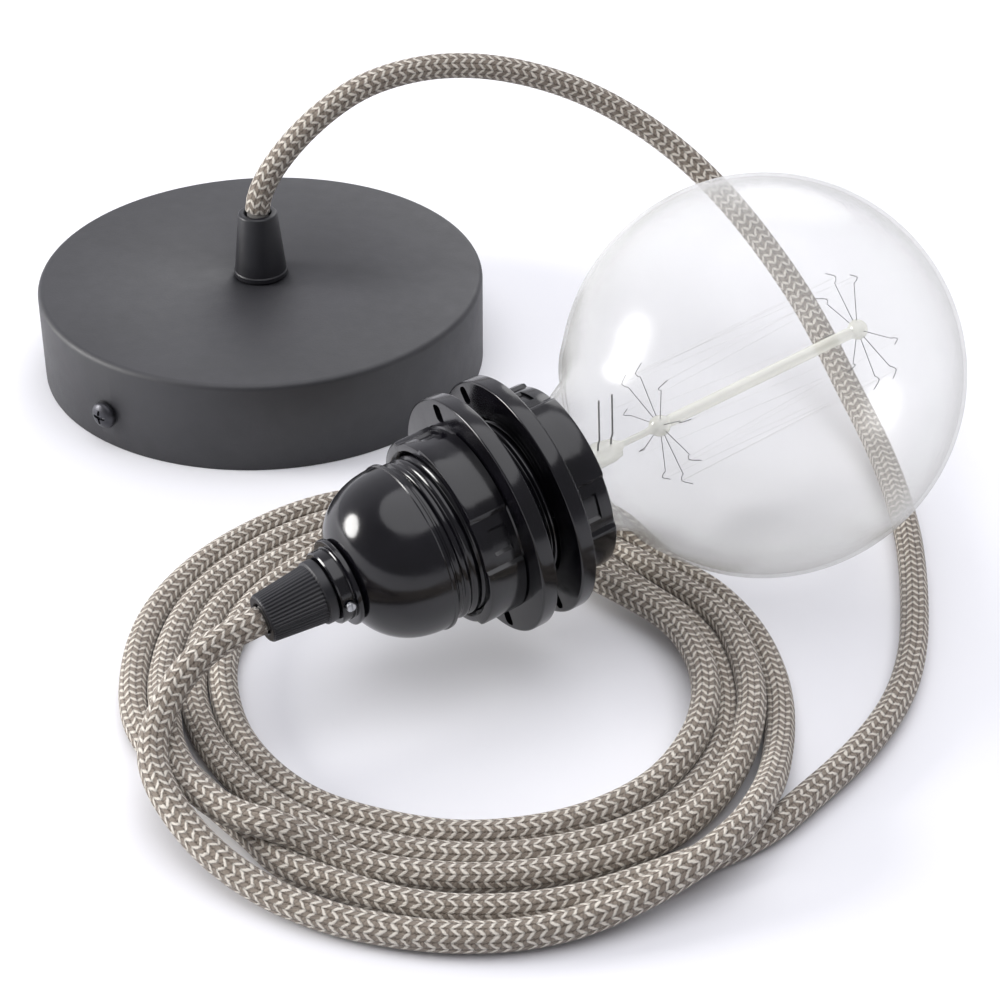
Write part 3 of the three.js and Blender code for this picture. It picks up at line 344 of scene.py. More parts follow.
@dataclass(frozen=True)
class Braid:
    """A textile cord cover: cream yarn in close zigzags over taupe yarn.

    The piece's UV map holds the length along the cord in millimetres and the share of a turn round it.
    """

    name: str
    cream: Colour
    taupe: Colour
    # shade is the dark colour painted into the folds of the weave as shade.
    shade: Colour
    pitch: float = 2.4
    teeth: int = 7
    swing: float = 0.6
    line: float = 0.34

    def make(self) -> bpy.types.Material:
        """Builds the material."""
        sheet = Sheet(self.name)
        flat = sheet.out("ShaderNodeUVMap", {"uv_map": "lay"}, {})
        parts = sheet.node("ShaderNodeSeparateXYZ", {}, {0: flat})
        along, round_ = Signal(sheet, parts.outputs[0]), Signal(sheet, parts.outputs[1])
        spread = sheet.out("ShaderNodeMapping", {}, {"Vector": flat, "Scale": (1.0, 20.0, 1.0)})
        wander = sheet.noise(1.7, 3.0, spread) - 0.5
        fibre = sheet.noise(0.16, 3.0, spread)
        clump = sheet.noise(0.55, 3.0, spread)
        teeth = (round_ * float(self.teeth)).zigzag()
        phase = along / self.pitch + teeth * self.swing + wander * 0.62
        band = phase.fraction().zigzag()
        leg = (round_ * (2.0 * self.teeth)).zigzag().ease(0.0, 0.5)
        # The cream lines wander with the fibre and clump noise, and narrow a little towards the points of the
        # zigzag as painted shade in the folds.
        ragged_and_fold_shade = (fibre - 0.5) * 0.5 + (clump - 0.5) * 0.4 + (leg - 0.6) * 0.1
        cream = (band + ragged_and_fold_shade).ease(1 - self.line - 0.14, 1 - self.line + 0.14)
        twist = ((phase * 3.0) + round_ * 34.0).sine()
        # Painted shade: lit runs the ground from the dark shade colour to taupe, darker at the points of the
        # zigzag where the yarn folds and in the troughs of the twist; the clump noise gives tone that differs
        # at random.
        lit = (clump * 0.55 + leg * 0.25 + twist * 0.2).ease(0.2, 0.72)
        ground = sheet.mixed(lit, self.shade, self.taupe)
        # Painted highlight and shade on the cream yarn: light along the middle of each stitch's leg and dull
        # at its folds, with the fibre noise for tone that differs at random.
        light = tuple(min(1.0, c * 1.08) for c in self.cream)
        dull = tuple(c * 0.72 for c in self.cream)
        yarn = sheet.mixed((fibre * 0.6 + leg * 0.4).ease(0.3, 0.75), dull, light)
        height = cream * 0.5 + band * 0.3 + leg * 0.3 + fibre * 0.3 + twist * 0.12
        sheet.set(
            Base_Color=sheet.mixed(cream, ground, yarn),
            Roughness=0.88 + fibre * 0.1,
            Normal=sheet.bump(height, 0.00042),
            Specular_IOR_Level=0.2,
            Sheen_Weight=0.25,
            Sheen_Roughness=0.5,
        )
        return sheet.material


@dataclass(frozen=True)
class Paper:
    """The pale matte table top."""

    name: str
    colour: Colour

    def make(self) -> bpy.types.Material:
        """Builds the material."""
        sheet = Sheet(self.name)
        soft = sheet.noise(0.2, 2.0)
        sheet.set(
            Base_Color=sheet.mixed(soft, self.colour, tuple(c * 0.985 for c in self.colour)),
            Roughness=0.7 + sheet.noise(0.004, 2.0) * 0.1,
            Specular_IOR_Level=0.25,
        )
        return sheet.material


class Finish(Enum):
    """Every finish in the set, by the piece that wears it."""

    CUP = PowderPaint("cup_powder_coat", (0.0165, 0.0165, 0.02))
    HOLDER = Moulded("holder_gloss", (0.0042, 0.0038, 0.0056), 0.14, 0.0012, 0.00001, 0.3)
    GRIP = Moulded("grip_satin", (0.0095, 0.0095, 0.0125), 0.42, 0.0005, 0.00001, 0.25)
    STEEL = Metal("bright_steel", (0.62, 0.63, 0.66), 0.24)
    BLACK_STEEL = Metal("blacked_steel", (0.09, 0.09, 0.1), 0.34)
    ZINC = Metal("zinc_plate", (0.45, 0.46, 0.49), 0.36)
    BRASS = Metal("brass", (0.66, 0.47, 0.18), 0.3)
    LAMP_CAP = Metal("lamp_cap_aluminium", (0.72, 0.72, 0.74), 0.32, 0.2)
    BLOCK = Moulded("block_nylon", (0.66, 0.64, 0.57), 0.5, 0.0005, 0.00002, 0.06)
    CERAMIC = Moulded("insert_ceramic", (0.72, 0.69, 0.62), 0.3, 0.0008, 0.00003, 0.08)
    # The second colour of each glass is the darker colour painted at its rims as shade.
    GLASS = ClearGlass("globe_glass", (0.7, 0.7, 0.675), (0.36, 0.36, 0.335), 0.11, 0.8, 0.2)
    STEM_GLASS = ClearGlass("stem_glass", (0.98, 0.98, 0.86), (0.66, 0.66, 0.5), 0.46, 0.85)
    BEAD_GLASS = ClearGlass("insulator_glass", (0.03, 0.022, 0.018), (0.02, 0.015, 0.012), 0.97, 1.0)
    WIRE = Metal("fine_wire", (0.82, 0.81, 0.75), 0.45)
    FILAMENT = Moulded("filament_carbon", (0.55, 0.54, 0.5), 0.6, 0.0002, 0.00001, 0.1)
    # The cord's third colour is the dark painted shade in the folds of its weave.
    CORD = Braid("cord_braid", (0.7, 0.65, 0.575), (0.28, 0.237, 0.194), (0.08, 0.062, 0.047))
    SHEATH = Moulded("cord_sheath", (0.3, 0.29, 0.28), 0.5, 0.0006, 0.00002, 0.12)
    BROWN = Moulded("brown_cover", (0.11, 0.04, 0.018), 0.45, 0.0006, 0.00001, 0.15)
    GREEN = Moulded("green_cover", (0.13, 0.28, 0.03), 0.45, 0.0006, 0.00001, 0.15)
    BLUE = Moulded("blue_cover", (0.015, 0.09, 0.34), 0.45, 0.0006, 0.00001, 0.15)
    TABLE = Paper("table_paper", (0.86, 0.86, 0.885))

    def material(self) -> bpy.types.Material:
        """The finish's material, built once."""
        found = bpy.data.materials.get(self.value.name)
        return found or self.value.make()


SLOTS = {
    Finish.CUP: "cup",
    Finish.HOLDER: "holder",
    Finish.GRIP: "grip",
    Finish.STEEL: "steel",
    Finish.BLACK_STEEL: "steel",
    Finish.ZINC: "zinc",
    Finish.BRASS: "brass",
    Finish.LAMP_CAP: "lamp_cap",
    Finish.GLASS: "glass",
    Finish.STEM_GLASS: "glass",
    Finish.BEAD_GLASS: "insulator",
    Finish.WIRE: "fine_wire",
    Finish.FILAMENT: "filament",
    Finish.CORD: "cord",
}


# Places


def cup_place() -> Matrix:
    """From the cup's frame in millimetres, foot of its axis at zero, to the part's frame in metres."""
    low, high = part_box("ceiling_cup")
    centre = Vector(((low[0] + high[0]) / 2, (low[1] + high[1]) / 2, 0.0))
    return Matrix.Translation(centre) @ Matrix.Scale(MM, 4)


@dataclass(frozen=True)
class HeadLine:
    """The line of the lampholder and bulb: the globe rests on the table and the line climbs to it."""

    globe: tuple[float, float, float] = (126.2, -92.8, 47.5)
    turn: float = 31.8
    climb: float = 8.4
    reach: float = 113.9

    def place(self) -> Matrix:
        """From the head's frame in millimetres to the part's frame in metres."""
        turn, climb = math.radians(self.turn), math.radians(self.climb)
        along = Vector((math.cos(climb) * math.cos(turn), math.cos(climb) * math.sin(turn), math.sin(climb)))
        across = Vector((-math.sin(turn), math.cos(turn), 0.0))
        up = along.cross(across)
        frame = Matrix((across, up, along)).transposed().to_4x4()
        frame.translation = Vector(self.globe) - along * self.reach
        return cup_place() @ frame


# Shape tools


def arc(centre: Point, radii: Point, start: float, end: float, steps: int) -> Outline:
    """Points of an arc in the radius and height plane.

    Args:
        centre: the arc's centre.
        radii: its reach in radius and in height.
        start: the first angle in degrees.
        end: the last angle in degrees.
        steps: how many pieces it has.

    Returns:
        The points as radius and height.
    """
    angles = [math.radians(start + (end - start) * i / steps) for i in range(steps + 1)]
    return [(centre[0] + radii[0] * math.cos(a), centre[1] + radii[1] * math.sin(a)) for a in angles]


class Form:
    """A mesh in the making, in millimetres."""

    def __init__(self) -> None:
        """Starts empty."""
        self.bm = bmesh.new()

    def turned(self, outline: Sequence[Point], steps: int = 96, ring: bool = False) -> "Form":
        """Turns an outline about Z.

        Args:
            outline: points as radius and height.
            steps: facets of a full turn.
            ring: whether the outline comes back to its first point.

        Returns:
            The form itself.
        """
        points = [self.bm.verts.new((r, 0.0, z)) for r, z in outline]
        pairs = list(zip(points, points[1:])) + ([(points[-1], points[0])] if ring else [])
        edges = [self.bm.edges.new(pair) for pair in pairs]
        options = {"cent": (0, 0, 0), "axis": (0, 0, 1), "dvec": (0, 0, 0), "angle": 2 * math.pi}
        options |= {"steps": steps, "use_merge": True, "use_duplicate": False}
        bmesh.ops.spin(self.bm, geom=points + edges, **options)
        return self._shut()

    def _shut(self) -> "Form":
        """Joins doubled points and turns the faces outwards."""
        bmesh.ops.remove_doubles(self.bm, verts=self.bm.verts, dist=1e-4)
        bmesh.ops.dissolve_degenerate(self.bm, dist=1e-5, edges=self.bm.edges)
        bmesh.ops.recalc_face_normals(self.bm, faces=self.bm.faces)
        return self

    def block(self, size: Point, centre: Point = (0, 0, 0), edge: float = 0.0) -> "Form":
        """Adds a block with bevelled edges."""
        made = bmesh.ops.create_cube(self.bm, size=1.0)["verts"]
        bmesh.ops.scale(self.bm, vec=Vector(size), verts=made)
        bmesh.ops.translate(self.bm, vec=Vector(centre), verts=made)
        if edge:
            edges = list({e for v in made for e in v.link_edges})
            options = {"affect": "EDGES", "segments": 3, "profile": 0.5, "material": -1}
            bmesh.ops.bevel(self.bm, geom=edges, offset=edge, offset_type="OFFSET", **options)
        return self

    def moved(self, matrix: Matrix) -> "Form":
        """Moves the whole form."""
        bmesh.ops.transform(self.bm, matrix=matrix, verts=self.bm.verts)
        if matrix.determinant() < 0:
            bmesh.ops.reverse_faces(self.bm, faces=self.bm.faces)
        return self

    def reshaped(self, rule: Callable[[float, float, float], float]) -> "Form":
        """Gives each point a new radius.

        Args:
            rule: takes a point's radius, angle in degrees and height, and gives its new radius.

        Returns:
            The form itself.
        """
        for vert in self.bm.verts:
            radius = math.hypot(vert.co.x, vert.co.y)
            if radius < 1e-6:
                continue
            angle = math.degrees(math.atan2(vert.co.y, vert.co.x)) % 360
            share = rule(radius, angle, vert.co.z) / radius
            vert.co.x *= share
            vert.co.y *= share
        return self

    def carved(self, *cutters: "Form") -> "Form":
        """Cuts other forms out of this one."""
        objects = [form._object("carving") for form in (self, *cutters)]
        body, tools = objects[0], objects[1:]
        for tool in tools:
            cut = body.modifiers.new("cut", "BOOLEAN")
            cut.operation, cut.solver, cut.object = "DIFFERENCE", "EXACT", tool
        depsgraph = bpy.context.evaluated_depsgraph_get()
        mesh = bpy.data.meshes.new_from_object(body.evaluated_get(depsgraph))
        self.bm.clear()
        self.bm.from_mesh(mesh)
        for obj in objects:
            bpy.data.objects.remove(obj)
        bpy.data.meshes.remove(mesh)
        return self

    def _object(self, name: str) -> bpy.types.Object:
        """A plain object with a copy of the form's mesh."""
        mesh = bpy.data.meshes.new(name)
        self.bm.to_mesh(mesh)
        obj = bpy.data.objects.new(name, mesh)
        bpy.context.scene.collection.objects.link(obj)
        return obj

    def piece(self, name: str, place: Matrix, finish: Finish, crease: float = 32.0) -> bpy.types.Object:
        """Finishes the form as an object in the part's frame.

        Args:
            name: the object's name.
            place: from the form's millimetres to the part's metres.
            finish: what it is made of.
            crease: the angle in degrees over which an edge stays sharp.

        Returns:
            The new object.
        """
        for face in self.bm.faces:
            face.smooth = True
        for edge in self.bm.edges:
            edge.smooth = len(edge.link_faces) == 2 and edge.calc_face_angle(0.0) < math.radians(crease)
        self.moved(place)
        obj = self._object(name)
        self.bm.free()
        obj.data.materials.append(finish.material())
        return obj


def wire(
    name: str, runs: Iterable[Sequence[Point]], radius: float, place: Matrix, finish: Finish
) -> bpy.types.Object:
    """Round wires bent through the given points, as one piece.

    Args:
        name: the object's name.
        runs: the points of each wire, in millimetres.
        radius: the wire's radius in millimetres.
        place: from those millimetres to the part's metres.
        finish: what it is made of.

    Returns:
        The new object.
    """
    curve = bpy.data.curves.new(name, "CURVE")
    curve.dimensions = "3D"
    curve.bevel_depth = radius
    curve.bevel_resolution = 1
    curve.use_fill_caps = True
    for points in runs:
        spline = curve.splines.new("POLY")
        spline.points.add(len(points) - 1)
        for slot, point in zip(spline.points, points):
            slot.co = (*point, 1.0)
    holder = bpy.data.objects.new(name + "_line", curve)
    bpy.context.scene.collection.objects.link(holder)
    mesh = bpy.data.meshes.new_from_object(holder.evaluated_get(bpy.context.evaluated_depsgraph_get()))
    bpy.data.objects.remove(holder)
    form = Form()
    form.bm.from_mesh(mesh)
    bpy.data.meshes.remove(mesh)
    return form.piece(name, place, finish, 60.0)


def declare(obj: bpy.types.Object, body: Body, finish: Finish, *nodes: str) -> None:
    """Puts a piece on its body in place of the named CAD nodes.

    Args:
        obj: the piece.
        body: what it rides on.
        finish: what it is made of.
        nodes: the CAD nodes that it stands for.
    """
    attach(obj, body.value)
    if nodes:
        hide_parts(*nodes)
    finish in SLOTS
    log.info("%s: %d faces", obj.name, len(obj.data.polygons))


# Free cord


@dataclass
class Cord:
    """The textile cord: up and over from the cup, round the coil, and up to the lampholder."""

    radius: float = 3.3
    exit_height: float = 43.5
    sides: int = 20
    centre: tuple[float, float] = (54.5, -155.5)
    ball: tuple[float, float, float] = (126.2, -92.8, 47.5)
    ball_radius: float = 47.5
    arch: list[Point] = field(default_factory=lambda: [
        (0, 0, 44), (0.1, 0, 46.6), (1.8, 0.7, 51.2), (5.8, 2.2, 57.2), (11.1, 4.5, 63.1), (17, 7.1, 68),
        (23.2, 9.7, 72), (29.8, 12.2, 75), (44.3, 16.8, 77.5), (59.5, 20.4, 76.5), (74.6, 22.5, 72.7),
        (89.1, 23, 66.9), (102.8, 21.3, 59.4), (115.4, 17.5, 50.8), (126.5, 11.2, 41.6), (136, 2.7, 32.5),
        (144.2, -7.8, 24.1), (150.6, -20, 16.7), (155.5, -33.7, 10.7), (159.8, -48.4, 6.7),
        (162.6, -63.7, 4.5), (164, -79.4, 3.6), (164.2, -95.2, 3.5), (163.2, -111.1, 3.5),
        (161.4, -126.8, 3.5), (158.7, -142.4, 3.5), (154, -157.4, 3.5), (146.8, -171.3, 3.5),
        (137.5, -184.1, 3.5), (130.3, -192.4, 3.5), (123, -200.7, 3.5),
    ])
    lead_in: list[Point] = field(default_factory=lambda: [
        (-6.4, -197.6, 11.5), (-8.2, -190.6, 13), (-7.4, -183.6, 16.2), (-4.6, -177, 20.6),
        (0, -171.6, 24.4), (5.4, -167.7, 26.4), (10.1, -164.8, 27.3), (13, -163, 27.8),
    ])
    turns: list[Point] = field(default_factory=lambda: [
        (-42, 79, 3.4), (-50, 76.1, 3.4), (-59, 74.5, 3.4), (-68, 74, 3.4), (-79, 73.1, 3.4), (-90, 72, 3.4),
        (-100, 70.4, 3.4), (-110, 68.3, 3.4), (-119, 66.4, 3.4), (-128, 64.4, 3.4), (-137, 63.4, 3.4),
        (-146, 63.6, 3.4), (-155, 65.2, 3.4), (-162, 67.4, 3.4), (-169, 69.4, 3.4), (-176, 71.1, 3.4),
        (-184, 72.4, 3.4), (-193, 74.1, 3.4), (-206, 76.5, 3.4), (-225, 79, 3.4), (-247, 81, 3.4),
        (-270, 77.5, 3.4), (-292, 71, 3.4), (-319, 63.4, 4.4), (-342, 64.8, 6.4), (-365, 65.4, 6.8),
        (-376, 66, 6.8), (-386, 67.1, 6.4), (-397, 68.1, 5.8), (-408, 68.4, 5.2), (-418, 67.4, 4.6),
        (-428, 65.6, 4.2), (-439, 64, 3.8), (-451, 62.8, 3.8), (-463, 62.3, 3.8), (-473, 62.8, 4.6),
        (-482, 64.8, 7), (-491, 66.8, 9.2), (-501, 67.8, 9.8), (-511, 67, 9.4), (-520, 65.9, 7.8),
        (-530, 65.3, 5.6), (-542, 65.8, 4.2), (-566, 69.3, 3.6), (-585, 71.6, 3.6), (-607, 73.6, 3.6),
        (-630, 70.4, 3.6), (-652, 64.2, 3.6), (-679, 57.5, 3.4), (-705, 59.4, 3.4), (-725, 60.8, 3.4),
        (-743, 62, 3.4), (-757, 62.2, 3.4), (-770, 61.2, 3.4), (-784, 59.2, 3.4), (-797, 57.6, 3.4),
        (-811, 56.4, 3.4), (-840, 55.5, 3.8), (-857, 55.4, 4.2), (-870, 55.7, 4), (-885, 56.8, 3.6),
        (-902, 58.9, 3.4), (-926, 62.4, 3.4), (-945, 64.8, 3.4), (-967, 66.8, 3.4), (-990, 63.6, 3.4),
        (-1012, 57.6, 3.6), (-1039, 53.6, 5.2), (-1062, 55.2, 6.6), (-1082, 56.6, 7), (-1100, 57.2, 6.8),
        (-1117, 56.6, 6), (-1131, 54.7, 5), (-1143, 52.9, 4.3), (-1155, 51.2, 3.8), (-1171, 50, 3.6),
        (-1201, 49.2, 3.6), (-1217, 49.4, 3.6), (-1238, 50, 3.6), (-1263, 52.2, 3.6), (-1279, 55, 3.6),
        (-1298, 58.4, 3.6), (-1318, 60.8, 5), (-1338, 64.2, 9.4), (-1358, 69.4, 10.2), (-1378, 70.6, 8),
        (-1399, 69.9, 4.4), (-1411, 70.8, 3.6), (-1424, 71.6, 3.4), (-1441, 72.2, 3.4), (-1452, 73, 4),
        (-1460, 74.3, 5.4), (-1468, 76.6, 7.6), (-1475, 78.8, 9.3), (-1482, 80.8, 10), (-1489, 81.1, 9.3),
        (-1496, 80.9, 7.7), (-1503, 80.7, 6), (-1511, 80.9, 4.4), (-1520, 80.6, 3.6), (-1529, 80, 3.5),
        (-1537, 79.2, 3.5), (-1548, 78.2, 3.6), (-1560, 77, 4.6), (-1572, 76, 7.4),
    ])

    def rough(self) -> np.ndarray:
        """The chosen points from end to end, in the cup's millimetres."""
        x, y = self.centre
        coil = []
        for angle, reach, height in self.turns:
            a = math.radians(angle)
            coil.append((x + reach * math.cos(a), y + reach * math.sin(a), height))
        return np.array([*self.arch, *coil, *self.lead_in], dtype=float)

    @staticmethod
    def even(points: np.ndarray, step: float) -> np.ndarray:
        """A smooth curve through points, cut at even distances.

        Args:
            points: what the curve passes through.
            step: the distance between the new points.

        Returns:
            The new points.
        """
        reach = np.r_[0, np.cumsum(np.linalg.norm(np.diff(points, axis=0), axis=1) ** 0.5)]
        slope = np.gradient(points, reach, axis=0)
        fine = np.linspace(0, reach[-1], len(points) * 40)
        i = np.clip(np.searchsorted(reach, fine, side="right") - 1, 0, len(points) - 2)
        span = (reach[i + 1] - reach[i])[:, None]
        t = (fine - reach[i])[:, None] / span
        curve = (
            (2 * t**3 - 3 * t**2 + 1) * points[i]
            + (t**3 - 2 * t**2 + t) * span * slope[i]
            + (3 * t**2 - 2 * t**3) * points[i + 1]
            + (t**3 - t**2) * span * slope[i + 1]
        )
        length = np.r_[0, np.cumsum(np.linalg.norm(np.diff(curve, axis=0), axis=1))]
        marks = np.linspace(0, length[-1], round(length[-1] / step) + 1)
        return np.stack([np.interp(marks, length, curve[:, k]) for k in range(3)], axis=-1)

    def settled(self, points: np.ndarray, rounds: int = 200) -> np.ndarray:
        """Lets the turns push each other aside and rest on each other.

        Args:
            points: an evenly cut line, 3 mm apart.
            rounds: how many small moves are made.

        Returns:
            The line at rest.
        """
        line, wanted = points.copy(), points.copy()
        count, wide = len(line), 2 * self.radius * 1.01
        number = np.arange(count)
        apart = np.abs(number[:, None] - number[None]) > 6
        ease = np.minimum(np.minimum(number, count - 1 - number) / 6.0, 1.0)[:, None]
        ball = np.array(self.ball)
        for _ in range(rounds):
            gap = line[:, None] - line[None]
            far = np.where(apart, np.linalg.norm(gap, axis=-1), 1e3)
            near = far.argmin(axis=1)
            distance = far[number, near]
            push = np.clip(wide - distance, 0, None) * 0.5 / np.maximum(distance, 1e-6)
            move = gap[number, near] * push[:, None]
            move += (wanted - line) * 0.04
            line += move * ease
            for weight in (0.45, -0.4):
                bend = np.zeros_like(line)
                bend[1:-1] = (line[:-2] + line[2:]) / 2 - line[1:-1]
                line += bend * weight * ease
            away = line - ball
            reach = np.linalg.norm(away, axis=1, keepdims=True)
            clear = self.ball_radius + self.radius + 0.4
            line += away / reach * np.clip(clear - reach, 0, None)
            line[:, 2] = np.maximum(line[:, 2], self.radius + 0.05)
        return line

    def build(self, place: Matrix) -> None:
        """Args:
            place: from the cup's millimetres to the part's metres.
        """
        line = self.even(self.settled(self.even(self.rough(), 3.0)), 1.5)
        obj = self._tube(line)
        obj.data.transform(place)
        obj.data.materials.append(Finish.CORD.material())
        path = [list(place @ Vector(point)) for point in line]
        declare(obj, Body.SET, Finish.CORD, "cord_arch", "cord_coil", "cord_lead_in")
        exit_ = list(place @ Vector((0, 0, self.exit_height)))

    def _tube(self, line: np.ndarray) -> bpy.types.Object:
        """A tube round the line whose UV map holds the length in millimetres and the share of a turn."""
        ahead = np.gradient(line, axis=0)
        ahead /= np.linalg.norm(ahead, axis=1, keepdims=True)
        side = np.cross(ahead[0], (0.0, 1.0, 0.0))
        sides = [side / np.linalg.norm(side)]
        for direction in ahead[1:]:
            turned = sides[-1] - direction * np.dot(sides[-1], direction)
            sides.append(turned / np.linalg.norm(turned))
        side = np.array(sides)
        up = np.cross(ahead, side)
        angles = np.arange(self.sides) * 2 * math.pi / self.sides
        ring = np.cos(angles)[None, :, None] * side[:, None] + np.sin(angles)[None, :, None] * up[:, None]
        verts = (line[:, None] + ring * self.radius).reshape(-1, 3)
        rows, n = len(line), self.sides
        base = (np.arange(rows - 1)[:, None] * n).repeat(n, axis=1)
        here, following = np.arange(n)[None], (np.arange(n)[None] + 1) % n
        corners = [base + here, base + following, base + n + following, base + n + here]
        quads = np.stack(corners, axis=-1).reshape(-1, 4)
        mesh = bpy.data.meshes.new("textile_cord")
        ends = [list(range(n))[::-1], list(range((rows - 1) * n, rows * n))]
        mesh.from_pydata(verts.tolist(), [], quads.tolist() + ends)
        marks = np.r_[0, np.cumsum(np.linalg.norm(np.diff(line, axis=0), axis=1))]
        u = np.stack([marks[:-1], marks[:-1], marks[1:], marks[1:]], axis=-1)[:, None, :].repeat(n, axis=1)
        v = np.stack([here, here + 1, here + 1, here], axis=-1).repeat(rows - 1, axis=0) / n
        flat = np.stack([u, v], axis=-1).reshape(-1, 2)
        lay = mesh.uv_layers.new(name="lay")
        full = np.zeros((len(mesh.loops), 2))
        full[: len(flat)] = flat
        lay.data.foreach_set("uv", full.ravel())
        mesh.polygons.foreach_set("use_smooth", [True] * len(mesh.polygons))
        form = bmesh.new()
        form.from_mesh(mesh)
        bmesh.ops.recalc_face_normals(form, faces=form.faces)
        form.to_mesh(mesh)
        form.free()
        obj = bpy.data.objects.new("textile_cord", mesh)
        bpy.context.scene.collection.objects.link(obj)
        return obj


# Ceiling cup


@dataclass
class CeilingCup:
    """The drawn cup with its cord grip and side screws."""

    radius: float = 60.0
    height: float = 25.0
    wall: float = 1.0
    edge: float = 1.6
    grip_seat: float = 25.3
    grip_height: float = 18.2
    grip_base: float = 7.2
    grip_top: float = 5.3
    bore: float = 3.6
    shank: float = 4.9
    shank_length: float = 6.6
    screw_hole: float = 2.0
    screw_turn: float = -128.0
    screw_height: float = 9.5

    def build(self, place: Matrix) -> None:
        """Makes the cup's pieces.

        Args:
            place: from the cup's millimetres to the part's metres.
        """
        declare(self.shell().piece("cup_shell", place, Finish.CUP, 50), Body.SET, Finish.CUP, "ceiling_cup")
        declare(self.grip().piece("cup_grip", place, Finish.GRIP), Body.SET, Finish.GRIP, "cup_cord_grip")
        for number, turn in ((1, 0.0), (2, 180.0)):
            spot = place @ self.radial(turn)
            screw = self.screw().piece(f"cup_side_screw_{number}", spot, Finish.BLACK_STEEL)
            declare(screw, Body.SET, Finish.BLACK_STEEL, f"side_screw_{number}")

    def radial(self, turn: float) -> Matrix:
        """From a shape along Z to one along a radius at a side screw."""
        about = Matrix.Rotation(math.radians(self.screw_turn + turn), 4, "Z")
        return about @ Matrix.Translation((0, 0, self.screw_height)) @ Matrix.Rotation(math.pi / 2, 4, "Y")

    def shell(self) -> Form:
        """The cup: one sheet with a rounded shoulder, a turned rim and its holes."""
        inner, top = self.radius - self.wall, self.height - self.wall
        hole = self.shank + 0.3
        outline = [(self.radius - 0.25, 0.0), (self.radius, 0.25)]
        outline += arc((self.radius - self.edge, self.height - self.edge), (self.edge, self.edge), 0, 90, 8)
        outline += [(hole + 0.2, self.height), (hole, self.height - 0.2), (hole, top)]
        outline += arc((inner - 0.6, top - 0.6), (0.6, 0.6), 90, 0, 4)
        outline += [(inner, 0.25), (inner + 0.25, 0.0)]
        shell = Form().turned(outline, 160, ring=True)
        drill = [(0, 55), (self.screw_hole, 55), (self.screw_hole, 64), (0, 64)]
        drills = [Form().turned(drill, 24).moved(self.radial(turn)) for turn in (0, 180)]
        return shell.carved(*drills)

    def grip(self) -> Form:
        """The tapered cord grip with its threaded shank."""
        seat, base = self.grip_seat, self.grip_base
        top, end = seat + self.grip_height, seat - self.shank_length
        outline = [(self.bore, end), (self.shank, end), (self.shank, seat), (base - 0.2, seat)]
        outline += [(base, seat + 0.2), (base, seat + 1.3), (base - 0.25, seat + 1.6)]
        outline += arc((self.grip_top - 0.7, top - 0.7), (0.7, 0.7), 8, 90, 5)
        outline += [(self.bore + 0.25, top), (self.bore, top - 0.25)]
        return Form().turned(outline, 72, ring=True)

    def screw(self) -> Form:
        """A pan-head screw with a cross recess, along Z from the cup's axis."""
        seat, tip = self.radius + 0.3, 54.6
        outline = [(0, tip), (1.2, tip), (1.7, tip + 0.6), (1.7, seat), (3.5, seat), (3.6, seat + 0.1)]
        outline += arc((0, seat + 0.9), (3.6, 1.9), 0, 90, 8)
        outline[-1] = (0.0, seat + 2.8)
        bars = [Form().block(size, (0, 0, seat + 2.9), 0.25) for size in ((3.9, 0.8, 2.2), (0.8, 3.9, 2.2))]
        return Form().turned(outline, 48).carved(*bars)


# Lampholder


@dataclass
class RingNut:
    """One shade ring: a flange, and a collar with raised pads, pockets and flange slots."""

    bore: float = 19.3
    flange: float = 28.5
    thickness: float = 3.9
    collar: float = 9.6
    base: float = 21.7
    rise: float = 0.8
    span: float = 58.0
    edge: float = 0.5

    def form(self, pad_turn: float, slot_turn: float) -> Form:
        """The ring with its flange on z = 0 and its collar above.

        Args:
            pad_turn: where the first pad starts, in degrees.
            slot_turn: where the first flange slot is, in degrees.

        Returns:
            The form.
        """
        top, t, e = self.thickness + self.collar, self.thickness, self.edge
        outline = [(self.bore, 0.7), (self.bore + 0.7, 0.0)]
        outline += arc((self.flange - e, e), (e, e), -90, 0, 4)
        outline += arc((self.flange - e, t - e), (e, e), 0, 90, 4)
        outline += [(self.base + 1.2, t), (self.base + 0.35, t + 0.1), (self.base, t + 0.4)]
        outline += [(self.base, z) for z in (t + 0.45, t + 1.9, t + 2.05, t + 6.3, t + 6.45, top - 0.6)]
        outline += [(self.base - 0.15, top - 0.2), (self.base - 0.5, top), (self.bore + 0.9, top)]
        outline += [(self.bore, top - 0.9)]
        outline += [(self.bore, z) for z in np.arange(top - 1.6, 1.0, -0.6)]
        ring = Form().turned(outline, 216, ring=True)
        ring.reshaped(lambda r, a, z: self._collar(r, a, z, pad_turn))
        slots = [self._slot(slot_turn + turn) for turn in (0.0, 180.0)]
        return ring.carved(*slots)

    def _collar(self, radius: float, angle: float, height: float, pad_turn: float) -> float:
        """The collar's own radius at a point: pads, plain stretches and pockets."""
        if radius < self.base - 0.6 or height < self.thickness + 0.42:
            return radius
        at = (angle - pad_turn) % 90.0
        if at < self.span:
            near = min(at, self.span - at)
            return radius + self.rise * min(1.0, 0.35 + near / 1.7)
        middle = (self.span + 90.0) / 2
        inside = abs(at - middle) < 8.0 and self.thickness + 2.0 < height < self.thickness + 6.35
        return radius - (0.7 if inside else 0.0)

    def _slot(self, turn: float) -> Form:
        """The tool for one slot in the flange."""
        slot = Form().block((4.2, 3.4, 8.0), (25.3, 0, self.thickness / 2), 1.1)
        return slot.moved(Matrix.Rotation(math.radians(turn), 4, "Z"))


